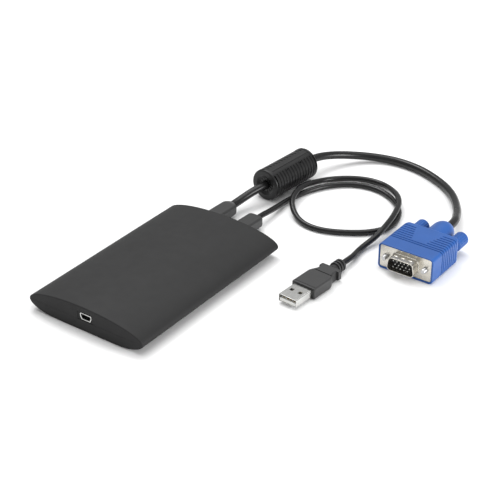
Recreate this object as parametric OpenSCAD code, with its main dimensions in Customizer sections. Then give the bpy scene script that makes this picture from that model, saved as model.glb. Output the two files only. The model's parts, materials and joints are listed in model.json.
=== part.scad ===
// Crash cart adapter: a flat case with a small data port in front,
// and a video cord and a data cord that leave it behind.
// Millimetres. The case stands on z = 0, its middle is at x = 0, y = 0,
// the port faces -y and the cords leave towards +y.

/* [Case] */
// Length of the case from end to end
case_l = 121; // [105:1:150]
// Width of the case across its rounded sides
case_w = 77.7; // [72:0.1:95]
// Height of the case at the middle of its crown
case_h = 14.9; // [14:0.1:18]
// Height of the seam between the two shells, where the case is widest
seam_h = 6.6; // [6.2:0.1:7]
// Width of the flat underside that the case stands on
rest_w = 40; // [34:1:48]
// Wall of both shells
wall = 1.8; // [1.4:0.1:2]
// Thickness of the shells' flat ends
end_wall = 2; // [1.6:0.1:2.4]

/* [Circuit board] */
// Thickness of the board
board_t = 1.6; // [1:0.1:1.8]
// Height of the board's upper face above the table
board_top = 7.2; // [7:0.1:7.6]
// Length of the empty bay between the board and the rear end
rear_bay = 20; // [18:0.5:28]

/* [Port] */
// Width of the port's metal sleeve at its wide upper side
port_w = 7.7; // [7:0.1:8.4]
// Height of the port's metal sleeve
port_h = 3.9; // [3.6:0.1:4.2]
// Place of the port's middle across the case
port_x = 1.1; // [-6:0.1:6]

/* [Glands] */
// Width of a strain relief behind the case
gland_w = 10; // [8.8:0.1:10.6]
// Height of a strain relief
gland_h = 7.6; // [7:0.1:8]
// Height of a strain relief's middle above the table
gland_z = 5.7; // [5.3:0.1:6.1]
// Length of the video cord's strain relief behind the case
video_gland_l = 23.5; // [16:0.5:24]
// Length of the data cord's strain relief behind the case
data_gland_l = 21; // [16:0.5:22]

/* [Cords] */
// Diameter of the video cord
video_cord_d = 5.2; // [4.4:0.1:5.4]
// Diameter of the data cord
data_cord_d = 3.5; // [3:0.1:3.8]

/* [Ferrite] */
// Length of the clip-on ferrite's case
ferrite_l = 40; // [36:0.5:44]
// Outer diameter of the clip-on ferrite's case
ferrite_d = 19.8; // [19.2:0.1:20.4]
// Wall of the ferrite's case between its core and the ribs
ferrite_wall = 1.3; // [1:0.1:1.5]
// Distance from one rib to the next
rib_pitch = 2.6; // [2.2:0.1:3.4]

/* [Video plug] */
// Width of the blue hood
hood_w = 34.6; // [33.6:0.1:36]
// Height of the blue hood
hood_h = 15.8; // [15.2:0.1:17]
// Length of the hood's ribbed body
hood_l = 30.5; // [28:0.5:34]
// Diameter of the hood's rounded tail
tail_d = 14; // [13:0.1:15]
// Length of the hood's rounded tail
tail_l = 17.5; // [16:0.5:20]
// Height of the pins' middle above the table
face_z = 8.2; // [7.9:0.1:8.4]
// Distance between the two thumbscrews
screw_gap = 24.99; // [24.99]
// Diameter of a thumbscrew's knob
knob_d = 8.4; // [7.6:0.1:9]
// Length of a thumbscrew's knob
knob_l = 12; // [9:0.5:14]

/* [Data plug] */
// Width of the data plug's grip
grip_w = 15.4; // [14.4:0.1:16]
// Height of the data plug's grip
grip_h = 6.9; // [6.5:0.1:7.3]
// Length of the grip's straight block
grip_l = 14.2; // [12:0.1:17]
// Height of the data plug's middle above the table
grip_z = 3.85; // [3.8:0.05:4.2]
// Length of the metal sleeve that shows in front of the grip
sleeve_l = 13.7; // [12:0.1:15]

/* [Hidden] */
$fn = 48;

// Clearances
fit = 0.1;
running_fit = 0.08;
over = 1;

// Colours
case_grey = [0.23, 0.23, 0.24];
gland_grey = [0.36, 0.36, 0.37];
cord_grey = [0.17, 0.17, 0.18];
ferrite_grey = [0.2, 0.2, 0.21];
core_grey = [0.12, 0.12, 0.13];
hood_blue = [0.2, 0.4, 0.78];
metal = [0.78, 0.77, 0.74];
gold = [0.85, 0.68, 0.3];
board_green = [0.05, 0.3, 0.16];
chip_black = [0.08, 0.08, 0.09];
white = [0.9, 0.9, 0.88];

// Screws and bosses of the case
boss_r = 2.8;
boss_in = 8.4;
boss_end_in = 9;
boss_x = case_w / 2 - boss_in;
boss_y = case_l / 2 - boss_end_in;
screw_r = 1;
screw_head_r = 1.9;
screw_head_t = 1.4;
screw_seat_z = 2.6;
screw_l = 6.6;
screw_slot_w = 0.5;
lip_h = 0.9;
lip_t = 0.8;
lip_drop = 1.4;
lip_length_share = 0.7;

// Board and what carries it
board_gap = 1.15;
board_w = 2 * (boss_x - boss_r - board_gap);
board_front_gap = 0.3;
board_front = -case_l / 2 + end_wall + board_front_gap;
board_rear = case_l / 2 - end_wall - rear_bay;
board_l = board_rear - board_front;
board_mid = (board_front + board_rear) / 2;
board_under = board_top - board_t;
post_r = 2.4;
post_in = 3.6;
post_end_in = 8;
post_x = board_w / 2 - post_in;
board_screw_r = 0.9;
board_screw_l = 4.4;
board_head_r = 1.8;
board_head_t = 1.1;

// Chips and their bent leads
flat_chip_h = 1.4;
chip_lift = 0.1;
chip_gap = 1;
lead_w = 0.3;
lead_out = 0.9;
lead_t = 0.2;
lead_pitch = 1;
lead_row_share = 0.8;
video_chip_w = 12;
processor_chip_w = 14;
memory_chip_w = 8;
memory_chip_l = 13;
data_chip_w = 9;
keyboard_chip_w = 7;
firmware_chip_w = 5;
regulator_w = 6.5;
regulator_l = 3.5;
regulator_h = 1.7;
crystal_w = 5;
crystal_l = 3.2;
crystal_h = 1.1;
capacitor_r = 1.6;
capacitor_h = 2.8;
coil_w = 5.2;
coil_h = 2.6;

// Places on the board as shares of its half width and half length
video_chip_shares = [-0.36, 0.34];
processor_chip_shares = [0.18, 0.02];
memory_chip_shares = [-0.42, -0.1];
data_chip_shares = [0.06, -0.52];
keyboard_chip_shares = [0.55, 0.44];
coil_shares = [-0.62, -0.62];
regulator_shares = [[0.55, -0.62], [0.55, -0.46]];
capacitor_shares = [[-0.62, -0.44], [-0.62, -0.34], [0.28, -0.68], [0.68, 0.2], [-0.72, 0.56]];

// Port: a sleeve whose lower corners are drawn in
sleeve_wall = 0.3;
port_l = 9.2;
port_set_back = 0.1;
port_corner_r = 0.45;
port_step_share = 0.45;
port_narrow_share = 0.79;
port_gap = 0.15;
port_z = board_top + port_h / 2;
port_front = -case_l / 2 + port_set_back;
port_tongue_w = 4.4;
port_tongue_h = 0.9;
port_tongue_in = 1.6;
port_contact_count = 5;
port_contact_pitch = 0.8;
port_contact_w = 0.4;
port_contact_t = 0.12;
port_back_l = 2;

// Glands: a groove round the neck holds each in the rear wall
gland_groove = 0.9;
gland_flange_t = 2;
gland_edge_r = 1.4;
gland_end_r = 2.4;
gland_drop = 0.8;
gland_rise = 0.3;
gland_mouth_l = 2.4;
gland_mouth_wall = 0.3;
video_gland_x = -11.9;
video_exit_right = 0.5;
video_exit_up = 0.7;
video_exit_x = video_gland_x + video_exit_right;
video_exit_z = gland_z + video_exit_up;
data_gland_x = 9;
rear_face = case_l / 2;
flange_face = rear_face - end_wall - gland_flange_t;
jacket_l = 4;

// Inner leads and their connectors
header_l = 5;
header_h = 4.2;
header_end = 1;
wire_plug_l = 4;
wire_plug_h = 3.2;
wire_pitch = 2;
video_wire_count = 8;
data_wire_count = 4;
video_wire_r = 0.4;
data_wire_r = 0.36;
wire_spread = 2.6;
header_back = board_rear - header_end;
wire_plug_back = header_back + wire_plug_l;
wire_plug_z = board_top + header_h / 2;

// Ferrite: place of its middle, turn about z, and its details
ferrite_x = -4.8;
ferrite_y = 131;
ferrite_turn = 4.8;
ferrite_r = ferrite_d / 2;
ferrite_z = ferrite_r;
rib_depth = 0.45;
rib_groove_w = 1.1;
collar_l = 2.6;
collar_r_step = 0.15;
ferrite_end_t = 2.4;
ferrite_dish_r = 4.7;
ferrite_dish_depth = 1.3;
ferrite_edge = 0.8;
finger_count = 12;
finger_slot_w = 0.5;
core_bore_gap = 0.7;
core_gap = 0.1;
hole_gap = 0.2;
barrel_r = ferrite_r - collar_r_step;
core_room_r = barrel_r - rib_depth - ferrite_wall;
core_r = core_room_r - core_gap;
core_l = ferrite_l - 2 * ferrite_end_t - 2 * core_gap;
strip_from = -3;
strip_to = 35;
slit_w = 0.8;
slit_depth = 0.9;
slit_ranges = [[38, 78], [-42, -8]];
slit_in = 1.7;
window_angle = 40;
window_w = 1.7;
window_h = 1.1;
latch_y = 6.2;
latch_w = 4;
latch_t = 0.6;
latch_drop = 2.2;
latch_gap = 0.2;
latch_in = 0.85;
hinge_out = 1.4;
hinge_r = 1.25;
hinge_pin_r = 0.6;
hinge_half_l = 4;
hinge_knuckle_l = 4;
hinge_end_gap = 0.1;
hinge_slot_w = 1;
hinge_x = -ferrite_r - hinge_out;

// Video plug: place of its face and its details
video_x = 107.1;
video_y = 84.4;
hood_z = hood_h / 2;
hood_corner_r = 2.2;
hood_rear_r = 3;
hood_rim = 1;
plate_t = 0.8;
plate_set_back = 0.2;
plate_w = hood_w - 2 * hood_rim - 2 * fit;
plate_h = 13.7;
plate_corner_r = 1.2;
shell_depth = 5.8;
shell_wall = 0.4;
shell_wide = 17.7;
shell_narrow = 15.2;
shell_h = 8.5;
shell_corner_r = 2.3;
insulator_gap = 0.05;
insulator_back = 6;
insulator_proud = 0.6;
pin_r = 0.38;
pin_out = 4.6;
pin_tail = 1.5;
pin_pitch = 2.29;
pin_row_gap = 1.98;
pin_shift_share = 0.25;
pin_rows = 3;
pins_per_row = 5;
mould_w = 18.4;
mould_h = 11.6;
mould_gap = 0.1;
mould_start = insulator_back + pin_tail + mould_gap;
mould_rear_wall = 4;
mould_end = hood_l - mould_rear_wall;
thread_r = 1.42;
thread_out = 2.6;
shank_r = 1.6;
shank_out = 0.1;
screw_bore_r = shank_r + running_fit;
groove_y = 10.4;
groove_gap = 1.9;
groove_w = 0.6;
groove_depth = 0.45;
grip_rib_y = 14.6;
grip_rib_pitch = 2.3;
panel_front_w = 9;
panel_rear_w = 17;
tail_flat = 10;
tail_end_r = 3.1;
knob_gap = 0.5;
knob_neck_r = 2.8;
knob_neck_l = 2.4;
knob_edge = 0.9;
knob_groove_count = 18;
knob_groove_r = 0.32;

// Data plug: place of its front, turn about z, and its details
data_x = 72;
data_y = 20.7;
data_turn = 4;
sleeve_w = 12;
sleeve_h = 4.5;
sleeve_tail = 5.05;
sleeve_hole = 2.2;
sleeve_hole_share = 0.55;
sleeve_hole_x_share = 0.235;
sleeve_corner_r = 0.6;
data_tongue_h = 1.9;
data_tongue_in = 0.3;
data_contact_w = 1;
data_contact_t = 0.2;
data_contact_l = 7.4;
data_contact_in = 1.2;
data_contact_xs = [-3.5, -1, 1, 3.5];
grip_end = sleeve_l + grip_l;
waist_l = 6.3;
waist_hold_l = 2.6;
waist_w = 10.6;
wing_w = 13.6;
wing_t = 2.8;
wing_h = 6;
neck_l = 1.8;
neck_w = 6;
boot_r = 2.8;
boot_ring_r = 3.7;
boot_ring_count = 3;
boot_ring_w = 1.2;
boot_ring_gap = 2.2;
boot_end_l = 1;
grip_edge_r = 1;
grip_groove_w = 0.6;
grip_groove_depth = 0.4;
grip_groove_in = 2.8;
data_mould_l = 4.6;
wing_front = grip_end + waist_l + waist_hold_l;
neck_start = wing_front + wing_t;
boot_start = neck_start + neck_l;
boot_end = boot_start + boot_ring_count * boot_ring_gap + boot_end_l;

// Cords: sides and rings of each tube
video_cord_sides = 10;
data_cord_sides = 8;
video_cord_rings = 25;
data_cord_rings = 55;
cord_lead = 5;

// Turns a place in a plug's or the ferrite's own frame into a place of the whole
function placed(x, y, turn, p) = [
    x + p[0] * cos(turn) + p[1] * sin(turn),
    y - p[0] * sin(turn) + p[1] * cos(turn),
    p[2]
];
function on_ferrite(s) = placed(ferrite_x, ferrite_y, ferrite_turn, [0, s, ferrite_z]);
function on_video_plug(s) = [video_x, video_y + s, hood_z];
function on_data_plug(s) = placed(data_x, data_y, data_turn, [0, s, grip_z]);

// Route of the video cord: gland, ferrite, then a wide bend on the table to the plug
video_route = [
    [video_exit_x, rear_face + video_gland_l, video_exit_z],
    [video_exit_x, rear_face + video_gland_l + cord_lead, video_exit_z],
    [-10.2, 96, 7.6],
    [-8.4, 103.5, 9.1],
    on_ferrite(-ferrite_l / 2),
    on_ferrite(-ferrite_l / 4),
    on_ferrite(0),
    on_ferrite(ferrite_l / 4),
    on_ferrite(ferrite_l / 2),
    [-2, 159.5, 9.7],
    [0.5, 167.5, 8.7],
    [4.5, 175.5, 7.2],
    [10, 183, 5.6],
    [17, 190, 4.1],
    [25.5, 195, 3.1],
    [35, 197.5, 2.8],
    [45.5, 197.5, 2.7],
    [56, 195.5, 2.7],
    [66, 191.5, 2.7],
    [75.5, 186.5, 2.7],
    [84, 180, 2.8],
    [91, 172, 3.4],
    [97, 163, 4.4],
    [101, 156, 5.4],
    [104, 149, 6.5],
    [106.2, 143.2, 7.5],
    on_video_plug(hood_l + tail_l + cord_lead / 2),
    on_video_plug(hood_l + tail_l)
];

// Route of the data cord: one loose loop on the table that crosses over itself
data_route = [
    [data_gland_x, rear_face + data_gland_l, gland_z],
    [data_gland_x, rear_face + data_gland_l + cord_lead, gland_z],
    [9, 95, 4.6],
    [8, 108, 3],
    [8, 120, 2],
    [10.5, 132, 1.8],
    [15.5, 143, 1.8],
    [23.5, 152.5, 1.8],
    [34.5, 158.5, 1.8],
    [46.5, 159, 1.8],
    [58, 154, 1.8],
    [67.5, 145.5, 1.8],
    [73, 134.5, 1.8],
    [73.5, 122.5, 1.8],
    [67.5, 112, 1.8],
    [58, 104.5, 1.8],
    [47.5, 99, 1.8],
    [37, 97, 1.9],
    [27, 99.5, 2.2],
    [18.5, 105.5, 3.5],
    [12.5, 113, 5.1],
    [9.5, 122, 5.9],
    [8.5, 131.5, 5.7],
    [9.5, 141, 3.9],
    [12.5, 151.5, 2.3],
    [20.5, 160.5, 1.9],
    [32, 166.5, 1.9],
    [44, 166.5, 2.2],
    [54.5, 160.5, 3.7],
    [62, 153.5, 5.3],
    [67.5, 145.5, 5.9],
    [71, 136, 5.9],
    [73.5, 126, 5.8],
    [75, 116, 5.6],
    [75.5, 106.5, 4.3],
    [74, 97, 2.7],
    [74, 88.5, 2.3],
    [75.2, 82.5, 3],
    on_data_plug(boot_end + cord_lead),
    on_data_plug(boot_end)
];

// Smooth curve close to a route's points: a cubic B-spline whose inner points are pulled out of the bends
function route_end(route, i) =
    i < 0 ? 2 * route[0] - route[1] :
    i >= len(route) ? 2 * route[len(route) - 1] - route[len(route) - 2] :
    route[i];
function pulled(route, i) =
    i < 2 || i > len(route) - 3 ? route_end(route, i) :
    (8 * route[i] - route[i - 1] - route[i + 1]) / 6;
function curve(p0, p1, p2, p3, t) =
    (pow(1 - t, 3) * p0 + (3 * pow(t, 3) - 6 * pow(t, 2) + 4) * p1
        + (1 + 3 * t + 3 * pow(t, 2) - 3 * pow(t, 3)) * p2 + pow(t, 3) * p3) / 6;
function route_point(route, u) =
    let (i = min(floor(u), len(route) - 2))
    curve(pulled(route, i - 1), pulled(route, i), pulled(route, i + 1), pulled(route, i + 2), u - i);
function route_points(route, rings) =
    [for (k = [0:rings - 1]) route_point(route, k * (len(route) - 1) / (rings - 1))];

// Direction of the curve at one of its points, and the ring of corners round that point
function unit(v) = v / norm(v);
function heading(points, i) =
    i == 0 ? unit(points[1] - points[0]) :
    i == len(points) - 1 ? unit(points[i] - points[i - 1]) :
    unit(points[i + 1] - points[i - 1]);
function end_heading(route, points, i) =
    i == 0 ? unit(route[1] - route[0]) :
    i == len(points) - 1 ? unit(route[len(route) - 1] - route[len(route) - 2]) :
    heading(points, i);
function ring(centre, along, r, sides) =
    let (side = unit(cross(along, [0, 0, 1])), up = cross(side, along))
    [for (k = [0:sides - 1]) centre + r * (cos(360 * k / sides) * side + sin(360 * k / sides) * up)];

// Round tube along a route, closed by a flat cap at each end
module cord_tube(route, r, sides, rings) {
    points = route_points(route, rings);
    corners = [for (i = [0:rings - 1]) each ring(points[i], end_heading(route, points, i), r, sides)];
    walls = [
        for (i = [0:rings - 2])
            for (k = [0:sides - 1])
                let (a = i * sides + k, b = i * sides + (k + 1) % sides)
                    each [[a, b, b + sides], [a, b + sides, a + sides]]
    ];
    first_cap = [for (k = [1:sides - 2]) [0, k + 1, k]];
    last = (rings - 1) * sides;
    last_cap = [for (k = [1:sides - 2]) [last, last + k, last + k + 1]];
    polyhedron(corners, concat(walls, first_cap, last_cap), convexity = 6);
}

// Rectangle with round corners
module round_rect(w, h, r) {
    square([w - 2 * r, h], center = true);
    square([w, h - 2 * r], center = true);
    for (sx = [-1, 1])
        for (sy = [-1, 1])
            translate([sx * (w / 2 - r), sy * (h / 2 - r)])
                circle(r);
}

// Extrudes an x-z outline along +y from y0
module along_y(y0, length) {
    translate([0, y0 + length, 0])
        rotate([90, 0, 0])
            linear_extrude(length)
                children();
}

// Cylinder along +y from y0
module rod_y(y0, length, r) {
    translate([0, y0, 0])
        rotate([-90, 0, 0])
            cylinder(h = length, r = r);
}

// Solid of revolution about the y axis from [radius, y] points
module turned_y(points) {
    rotate([-90, 0, 0])
        rotate_extrude()
            polygon(points);
}

// Box from its middle in x and y and its lowest z
module block(x, y, z, w, l, h) {
    translate([x - w / 2, y - l / 2, z])
        cube([w, l, h]);
}

// Outline of the case across its length, moved in by inset
section_steps = 40;
function case_section(inset) =
    let (
        side = case_w / 2 - inset,
        crown = case_h - seam_h - inset,
        belly = seam_h - inset,
        quarter = section_steps / 4
    )
    concat(
        [for (i = [0:section_steps]) let (a = 180 * i / section_steps)
            [side * cos(a), seam_h + crown * sin(a)]],
        [for (i = [1:quarter]) let (a = 180 + 90 * i / quarter)
            [-rest_w / 2 + (side - rest_w / 2) * cos(a), seam_h + belly * sin(a)]],
        [for (i = [0:quarter - 1]) let (a = 270 + 90 * i / quarter)
            [rest_w / 2 + (side - rest_w / 2) * cos(a), seam_h + belly * sin(a)]]
    );

module case_solid(inset, end_inset) {
    along_y(-case_l / 2 + end_inset, case_l - 2 * end_inset)
        polygon(case_section(inset));
}

module case_hollow() {
    difference() {
        case_solid(0, 0);
        case_solid(wall, end_wall);
    }
}

module at_bosses() {
    for (sx = [-1, 1])
        for (sy = [-1, 1])
            translate([sx * boss_x, sy * boss_y, 0])
                children();
}

module at_posts() {
    for (x = [-post_x, post_x])
        for (y = [board_front + post_end_in, board_rear - post_end_in])
            translate([x, y, 0])
                children();
}

// Notches in the rear wall that the gland necks sit in
module gland_notches() {
    for (x = [video_gland_x, data_gland_x])
        translate([x, 0, gland_z])
            along_y(rear_face - end_wall - over, end_wall + 2 * over)
                square([gland_w - 2 * gland_groove + 2 * fit, gland_h - 2 * gland_groove + 2 * fit],
                    center = true);
}

module bottom_shell() {
    lip_side = (case_w / 2 - wall) * sqrt(1 - pow(lip_h / (case_h - seam_h - wall), 2)) - fit;
    color(case_grey)
        difference() {
            union() {
                difference() {
                    case_hollow();
                    block(0, 0, seam_h, 2 * case_w, 2 * case_l, case_h);
                }
                intersection() {
                    case_solid(wall / 2, end_wall / 2);
                    union() {
                        at_bosses()
                            cylinder(h = seam_h, r = boss_r);
                        at_posts()
                            cylinder(h = board_under, r = post_r);
                    }
                }
                for (s = [-1, 1])
                    intersection() {
                        case_solid(wall / 2, end_wall / 2);
                        union() {
                            block(s * (lip_side - lip_t / 2), 0, seam_h - over, lip_t,
                                lip_length_share * case_l, lip_h + over);
                            block(s * (lip_side - lip_t / 2 + lip_t), 0, seam_h - lip_drop, 3 * lip_t,
                                lip_length_share * case_l, lip_drop);
                        }
                    }
            }
            at_bosses() {
                translate([0, 0, -over])
                    cylinder(h = screw_seat_z + over, r = screw_head_r + fit);
                cylinder(h = case_h, r = screw_r + fit);
            }
            at_posts()
                translate([0, 0, wall])
                    cylinder(h = case_h, r = board_screw_r + fit / 2);
            gland_notches();
        }
}

module top_shell() {
    color(case_grey)
        difference() {
            union() {
                difference() {
                    case_hollow();
                    block(0, 0, -over, 2 * case_w, 2 * case_l, seam_h + over);
                }
                intersection() {
                    case_solid(wall / 2, end_wall / 2);
                    at_bosses()
                        translate([0, 0, seam_h])
                            cylinder(h = case_h, r = boss_r);
                }
            }
            at_bosses()
                cylinder(h = screw_seat_z + screw_l + 2 * fit, r = screw_r + fit / 2);
            gland_notches();
            translate([port_x, 0, port_z])
                along_y(-case_l / 2 - over, end_wall + 2 * over)
                    polygon(port_outline(-port_gap));
        }
}

// Screws that hold the shells together, driven from below
module case_screws() {
    color(metal)
        at_bosses() {
            difference() {
                translate([0, 0, screw_seat_z - screw_head_t])
                    cylinder(h = screw_head_t, r = screw_head_r);
                for (a = [0, 90])
                    rotate([0, 0, a])
                        block(0, 0, screw_seat_z - screw_head_t - over, 2 * screw_r, screw_slot_w,
                            over + screw_head_t / 2);
            }
            translate([0, 0, screw_seat_z])
                cylinder(h = screw_l, r = screw_r);
        }
}

module circuit_board() {
    color(board_green)
        difference() {
            block(0, board_mid, board_under, board_w, board_l, board_t);
            at_posts()
                cylinder(h = case_h, r = board_screw_r + fit);
        }
}

module board_screws() {
    color(metal)
        at_posts() {
            difference() {
                translate([0, 0, board_top])
                    cylinder(h = board_head_t, r = board_head_r);
                for (a = [0, 90])
                    rotate([0, 0, a])
                        block(0, 0, board_top + board_head_t / 2, 2 * board_screw_r, screw_slot_w,
                            board_head_t);
            }
            translate([0, 0, board_top - board_screw_l])
                cylinder(h = board_screw_l, r = board_screw_r);
        }
}

// Place on the board from shares of its half width and half length
function board_place(shares) = [shares[0] * board_w / 2, board_mid + shares[1] * board_l / 2, board_top];

// Row of bent leads along one edge of a chip
module lead_row(edge, span) {
    count = floor(span / lead_pitch);
    for (i = [0:count - 1])
        translate([edge, (i - (count - 1) / 2) * lead_pitch, 0]) {
            block(-lead_out / 2, 0, chip_lift + flat_chip_h / 2, lead_out, lead_w, lead_t);
            block(-lead_t / 2, 0, 0, lead_t, lead_w, chip_lift + flat_chip_h / 2 + lead_t);
            block(lead_out / 2 - lead_t, 0, 0, lead_out, lead_w, lead_t);
        }
}

module flat_chip(w, l, four_sided) {
    sides = four_sided ? [0, 90, 180, 270] : [0, 180];
    color(chip_black)
        union() {
            block(0, 0, chip_lift, w, l, flat_chip_h);
            for (a = sides)
                rotate([0, 0, a])
                    lead_row(((a % 180 == 0 ? w : l) + lead_out) / 2, lead_row_share * (a % 180 == 0 ? l : w));
        }
}

module video_chip() {
    translate(board_place(video_chip_shares))
        flat_chip(video_chip_w, video_chip_w, true);
}

module processor_chip() {
    translate(board_place(processor_chip_shares))
        flat_chip(processor_chip_w, processor_chip_w, true);
}

module memory_chip() {
    translate(board_place(memory_chip_shares))
        flat_chip(memory_chip_w, memory_chip_l, false);
}

module data_chip() {
    translate(board_place(data_chip_shares))
        flat_chip(data_chip_w, data_chip_w, true);
}

module keyboard_chip() {
    translate(board_place(keyboard_chip_shares))
        flat_chip(keyboard_chip_w, keyboard_chip_w, true);
}

// Firmware chip, beside the processor
module firmware_chip() {
    step = processor_chip_w / 2 + 2 * lead_out + chip_gap + firmware_chip_w / 2;
    translate(board_place(processor_chip_shares) + [step, 0, 0])
        flat_chip(firmware_chip_w, firmware_chip_w, false);
}

module regulators() {
    color(chip_black)
        for (shares = regulator_shares)
            translate(board_place(shares))
                block(0, 0, 0, regulator_w, regulator_l, regulator_h);
}

// Crystals, one behind the processor and one beside the data chip
module crystals() {
    behind = processor_chip_w / 2 + lead_out + chip_gap + crystal_l / 2;
    beside = data_chip_w / 2 + lead_out + chip_gap + crystal_w / 2;
    places = [
        board_place(processor_chip_shares) + [0, behind, 0],
        board_place(data_chip_shares) - [beside, 0, 0]
    ];
    color(metal)
        for (place = places)
            translate(place)
                linear_extrude(crystal_h)
                    round_rect(crystal_w, crystal_l, crystal_l / 4);
}

module capacitors() {
    color(metal)
        for (shares = capacitor_shares)
            translate(board_place(shares)) {
                block(0, 0, 0, 2 * capacitor_r, 2 * capacitor_r, capacitor_h / 5);
                cylinder(h = capacitor_h, r = capacitor_r);
            }
}

module power_coil() {
    color(core_grey)
        translate(board_place(coil_shares))
            linear_extrude(coil_h)
                round_rect(coil_w, coil_w, coil_w / 5);
}

// Outline of a rounded corner between three points
corner_steps = 5;
function corner(p0, p1, p2, r) =
    let (
        a = unit(p0 - p1),
        b = unit(p2 - p1),
        half = acos(a * b) / 2,
        centre = p1 + unit(a + b) * r / sin(half),
        start = p1 + a * r / tan(half) - centre,
        finish = p1 + b * r / tan(half) - centre,
        from = atan2(start[1], start[0]),
        sweep = atan2(start[0] * finish[1] - start[1] * finish[0], start * finish)
    )
    [for (i = [0:corner_steps]) let (t = from + sweep * i / corner_steps)
        centre + r * [cos(t), sin(t)]];
function rounded(points, r) =
    let (n = len(points))
    [for (i = [0:n - 1]) each corner(points[(i + n - 1) % n], points[i], points[(i + 1) % n], r)];

// Port outline: wide above, drawn in below
function port_outline(inset) =
    let (
        top = port_h / 2 - inset,
        low = -port_h / 2 + inset,
        step = low + port_step_share * port_h,
        wide = port_w / 2 - inset,
        narrow = port_narrow_share * port_w / 2 - inset
    )
    rounded([[wide, top], [-wide, top], [-wide, step], [-narrow, low], [narrow, low], [wide, step]],
        port_corner_r);

module port_sleeve() {
    color(metal)
        translate([port_x, 0, port_z])
            difference() {
                along_y(port_front, port_l)
                    polygon(port_outline(0));
                along_y(port_front - over, port_l + 2 * over)
                    polygon(port_outline(sleeve_wall));
            }
}

module port_tongue() {
    color(chip_black)
        translate([port_x, 0, port_z])
            union() {
                along_y(port_front + port_l - port_back_l, port_back_l)
                    polygon(port_outline(sleeve_wall + fit / 2));
                block(0, port_front + (port_l + port_tongue_in) / 2, -port_tongue_h / 2, port_tongue_w,
                    port_l - port_tongue_in, port_tongue_h);
            }
}

module port_contacts() {
    length = port_l - port_tongue_in - port_back_l - 2 * fit;
    color(gold)
        for (i = [0:port_contact_count - 1])
            block(port_x + (i - (port_contact_count - 1) / 2) * port_contact_pitch,
                port_front + port_tongue_in + fit + length / 2, port_z + port_tongue_h / 2,
                port_contact_w, length, port_contact_t);
}

// Board connector: a box open towards the rear for the wire plug's nose
module header(x, count) {
    color(white)
        block(x, header_back - header_l / 2, board_top, count * wire_pitch + wire_pitch, header_l,
            header_h);
}

module wire_plug(x, count) {
    color(white)
        block(x, header_back + wire_plug_l / 2, wire_plug_z - wire_plug_h / 2,
            count * wire_pitch + wire_pitch / 2, wire_plug_l, wire_plug_h);
}

module video_header() {
    header(video_gland_x, video_wire_count);
}

module data_header() {
    header(data_gland_x, data_wire_count);
}

module video_wire_plug() {
    wire_plug(video_gland_x, video_wire_count);
}

module data_wire_plug() {
    wire_plug(data_gland_x, data_wire_count);
}

// Straight wire between two places, cut square to the y axis at both ends
module wire(start, finish, r) {
    d = start - finish;
    aim = unit(d);
    intersection() {
        translate(finish - 3 * r * aim)
            rotate([0, acos(aim[2]), atan2(aim[1], aim[0])])
                cylinder(h = norm(d) + 6 * r, r = r);
        block(start[0], (start[1] + finish[1]) / 2, 0, case_w, abs(d[1]), case_h);
    }
}

// End of a cord's jacket inside the case and its wires to the wire plug
module inner_lead(x, cord_d, wires, wire_r) {
    columns = wires / 2;
    gap = wire_spread * wire_r;
    jacket_end = flange_face - jacket_l;
    color(cord_grey)
        union() {
            translate([x, 0, gland_z])
                rod_y(jacket_end, jacket_l, cord_d / 2);
            for (i = [0:wires - 1]) {
                column = i % columns;
                low = i < columns;
                wire([x + (column - (columns - 1) / 2) * gap, jacket_end + jacket_l / 4,
                        gland_z + (low ? -gap / 2 : gap / 2)],
                    [x + (2 * column + (low ? 0 : 1) - (wires - 1) / 2) * wire_pitch, wire_plug_back,
                        wire_plug_z], wire_r);
            }
        }
}

module video_inner_lead() {
    inner_lead(video_gland_x, video_cord_d, video_wire_count, video_wire_r);
}

module data_inner_lead() {
    inner_lead(data_gland_x, data_cord_d, data_wire_count, data_wire_r);
}

// Side view of a strain relief, which gets lower towards its rear end
function gland_side(length) =
    let (
        top = gland_h / 2,
        front = rear_face - 2 * gland_end_r,
        rear = rear_face + length
    )
    rounded([[front, top], [front, -top], [rear, -top + gland_rise], [rear, top - gland_drop]], gland_end_r);

// Strain relief: flange inside, neck in the wall, rounded body behind the case, collar round the cord
module gland(x, length, cord_x, cord_z, cord_r) {
    color(gland_grey)
        translate([x, 0, gland_z])
            union() {
                along_y(flange_face, gland_flange_t)
                    square([gland_w, gland_h - gland_groove], center = true);
                along_y(rear_face - end_wall - over / 2, end_wall + over)
                    square([gland_w - 2 * gland_groove, gland_h - 2 * gland_groove], center = true);
                intersection() {
                    along_y(rear_face, length)
                        round_rect(gland_w, gland_h, gland_edge_r);
                    translate([0, rear_face, -gland_h])
                        linear_extrude(2 * gland_h)
                            translate([0, length / 2 - gland_end_r])
                                round_rect(gland_w, length + 2 * gland_end_r, gland_end_r);
                    translate([-gland_w, 0, 0])
                        rotate([90, 0, 90])
                            linear_extrude(2 * gland_w)
                                polygon(gland_side(length));
                }
                translate([cord_x - x, 0, cord_z - gland_z])
                    rod_y(rear_face + length - gland_mouth_l, gland_mouth_l, cord_r + gland_mouth_wall);
            }
}

module video_gland() {
    gland(video_gland_x, video_gland_l, video_exit_x, video_exit_z, video_cord_d / 2);
}

module data_gland() {
    gland(data_gland_x, data_gland_l, data_gland_x, gland_z, data_cord_d / 2);
}

module video_cord() {
    color(cord_grey)
        cord_tube(video_route, video_cord_d / 2, video_cord_sides, video_cord_rings);
}

module data_cord() {
    color(cord_grey)
        cord_tube(data_route, data_cord_d / 2, data_cord_sides, data_cord_rings);
}

module at_ferrite() {
    translate([ferrite_x, ferrite_y, ferrite_z])
        rotate([0, 0, -ferrite_turn])
            children();
}

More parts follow.
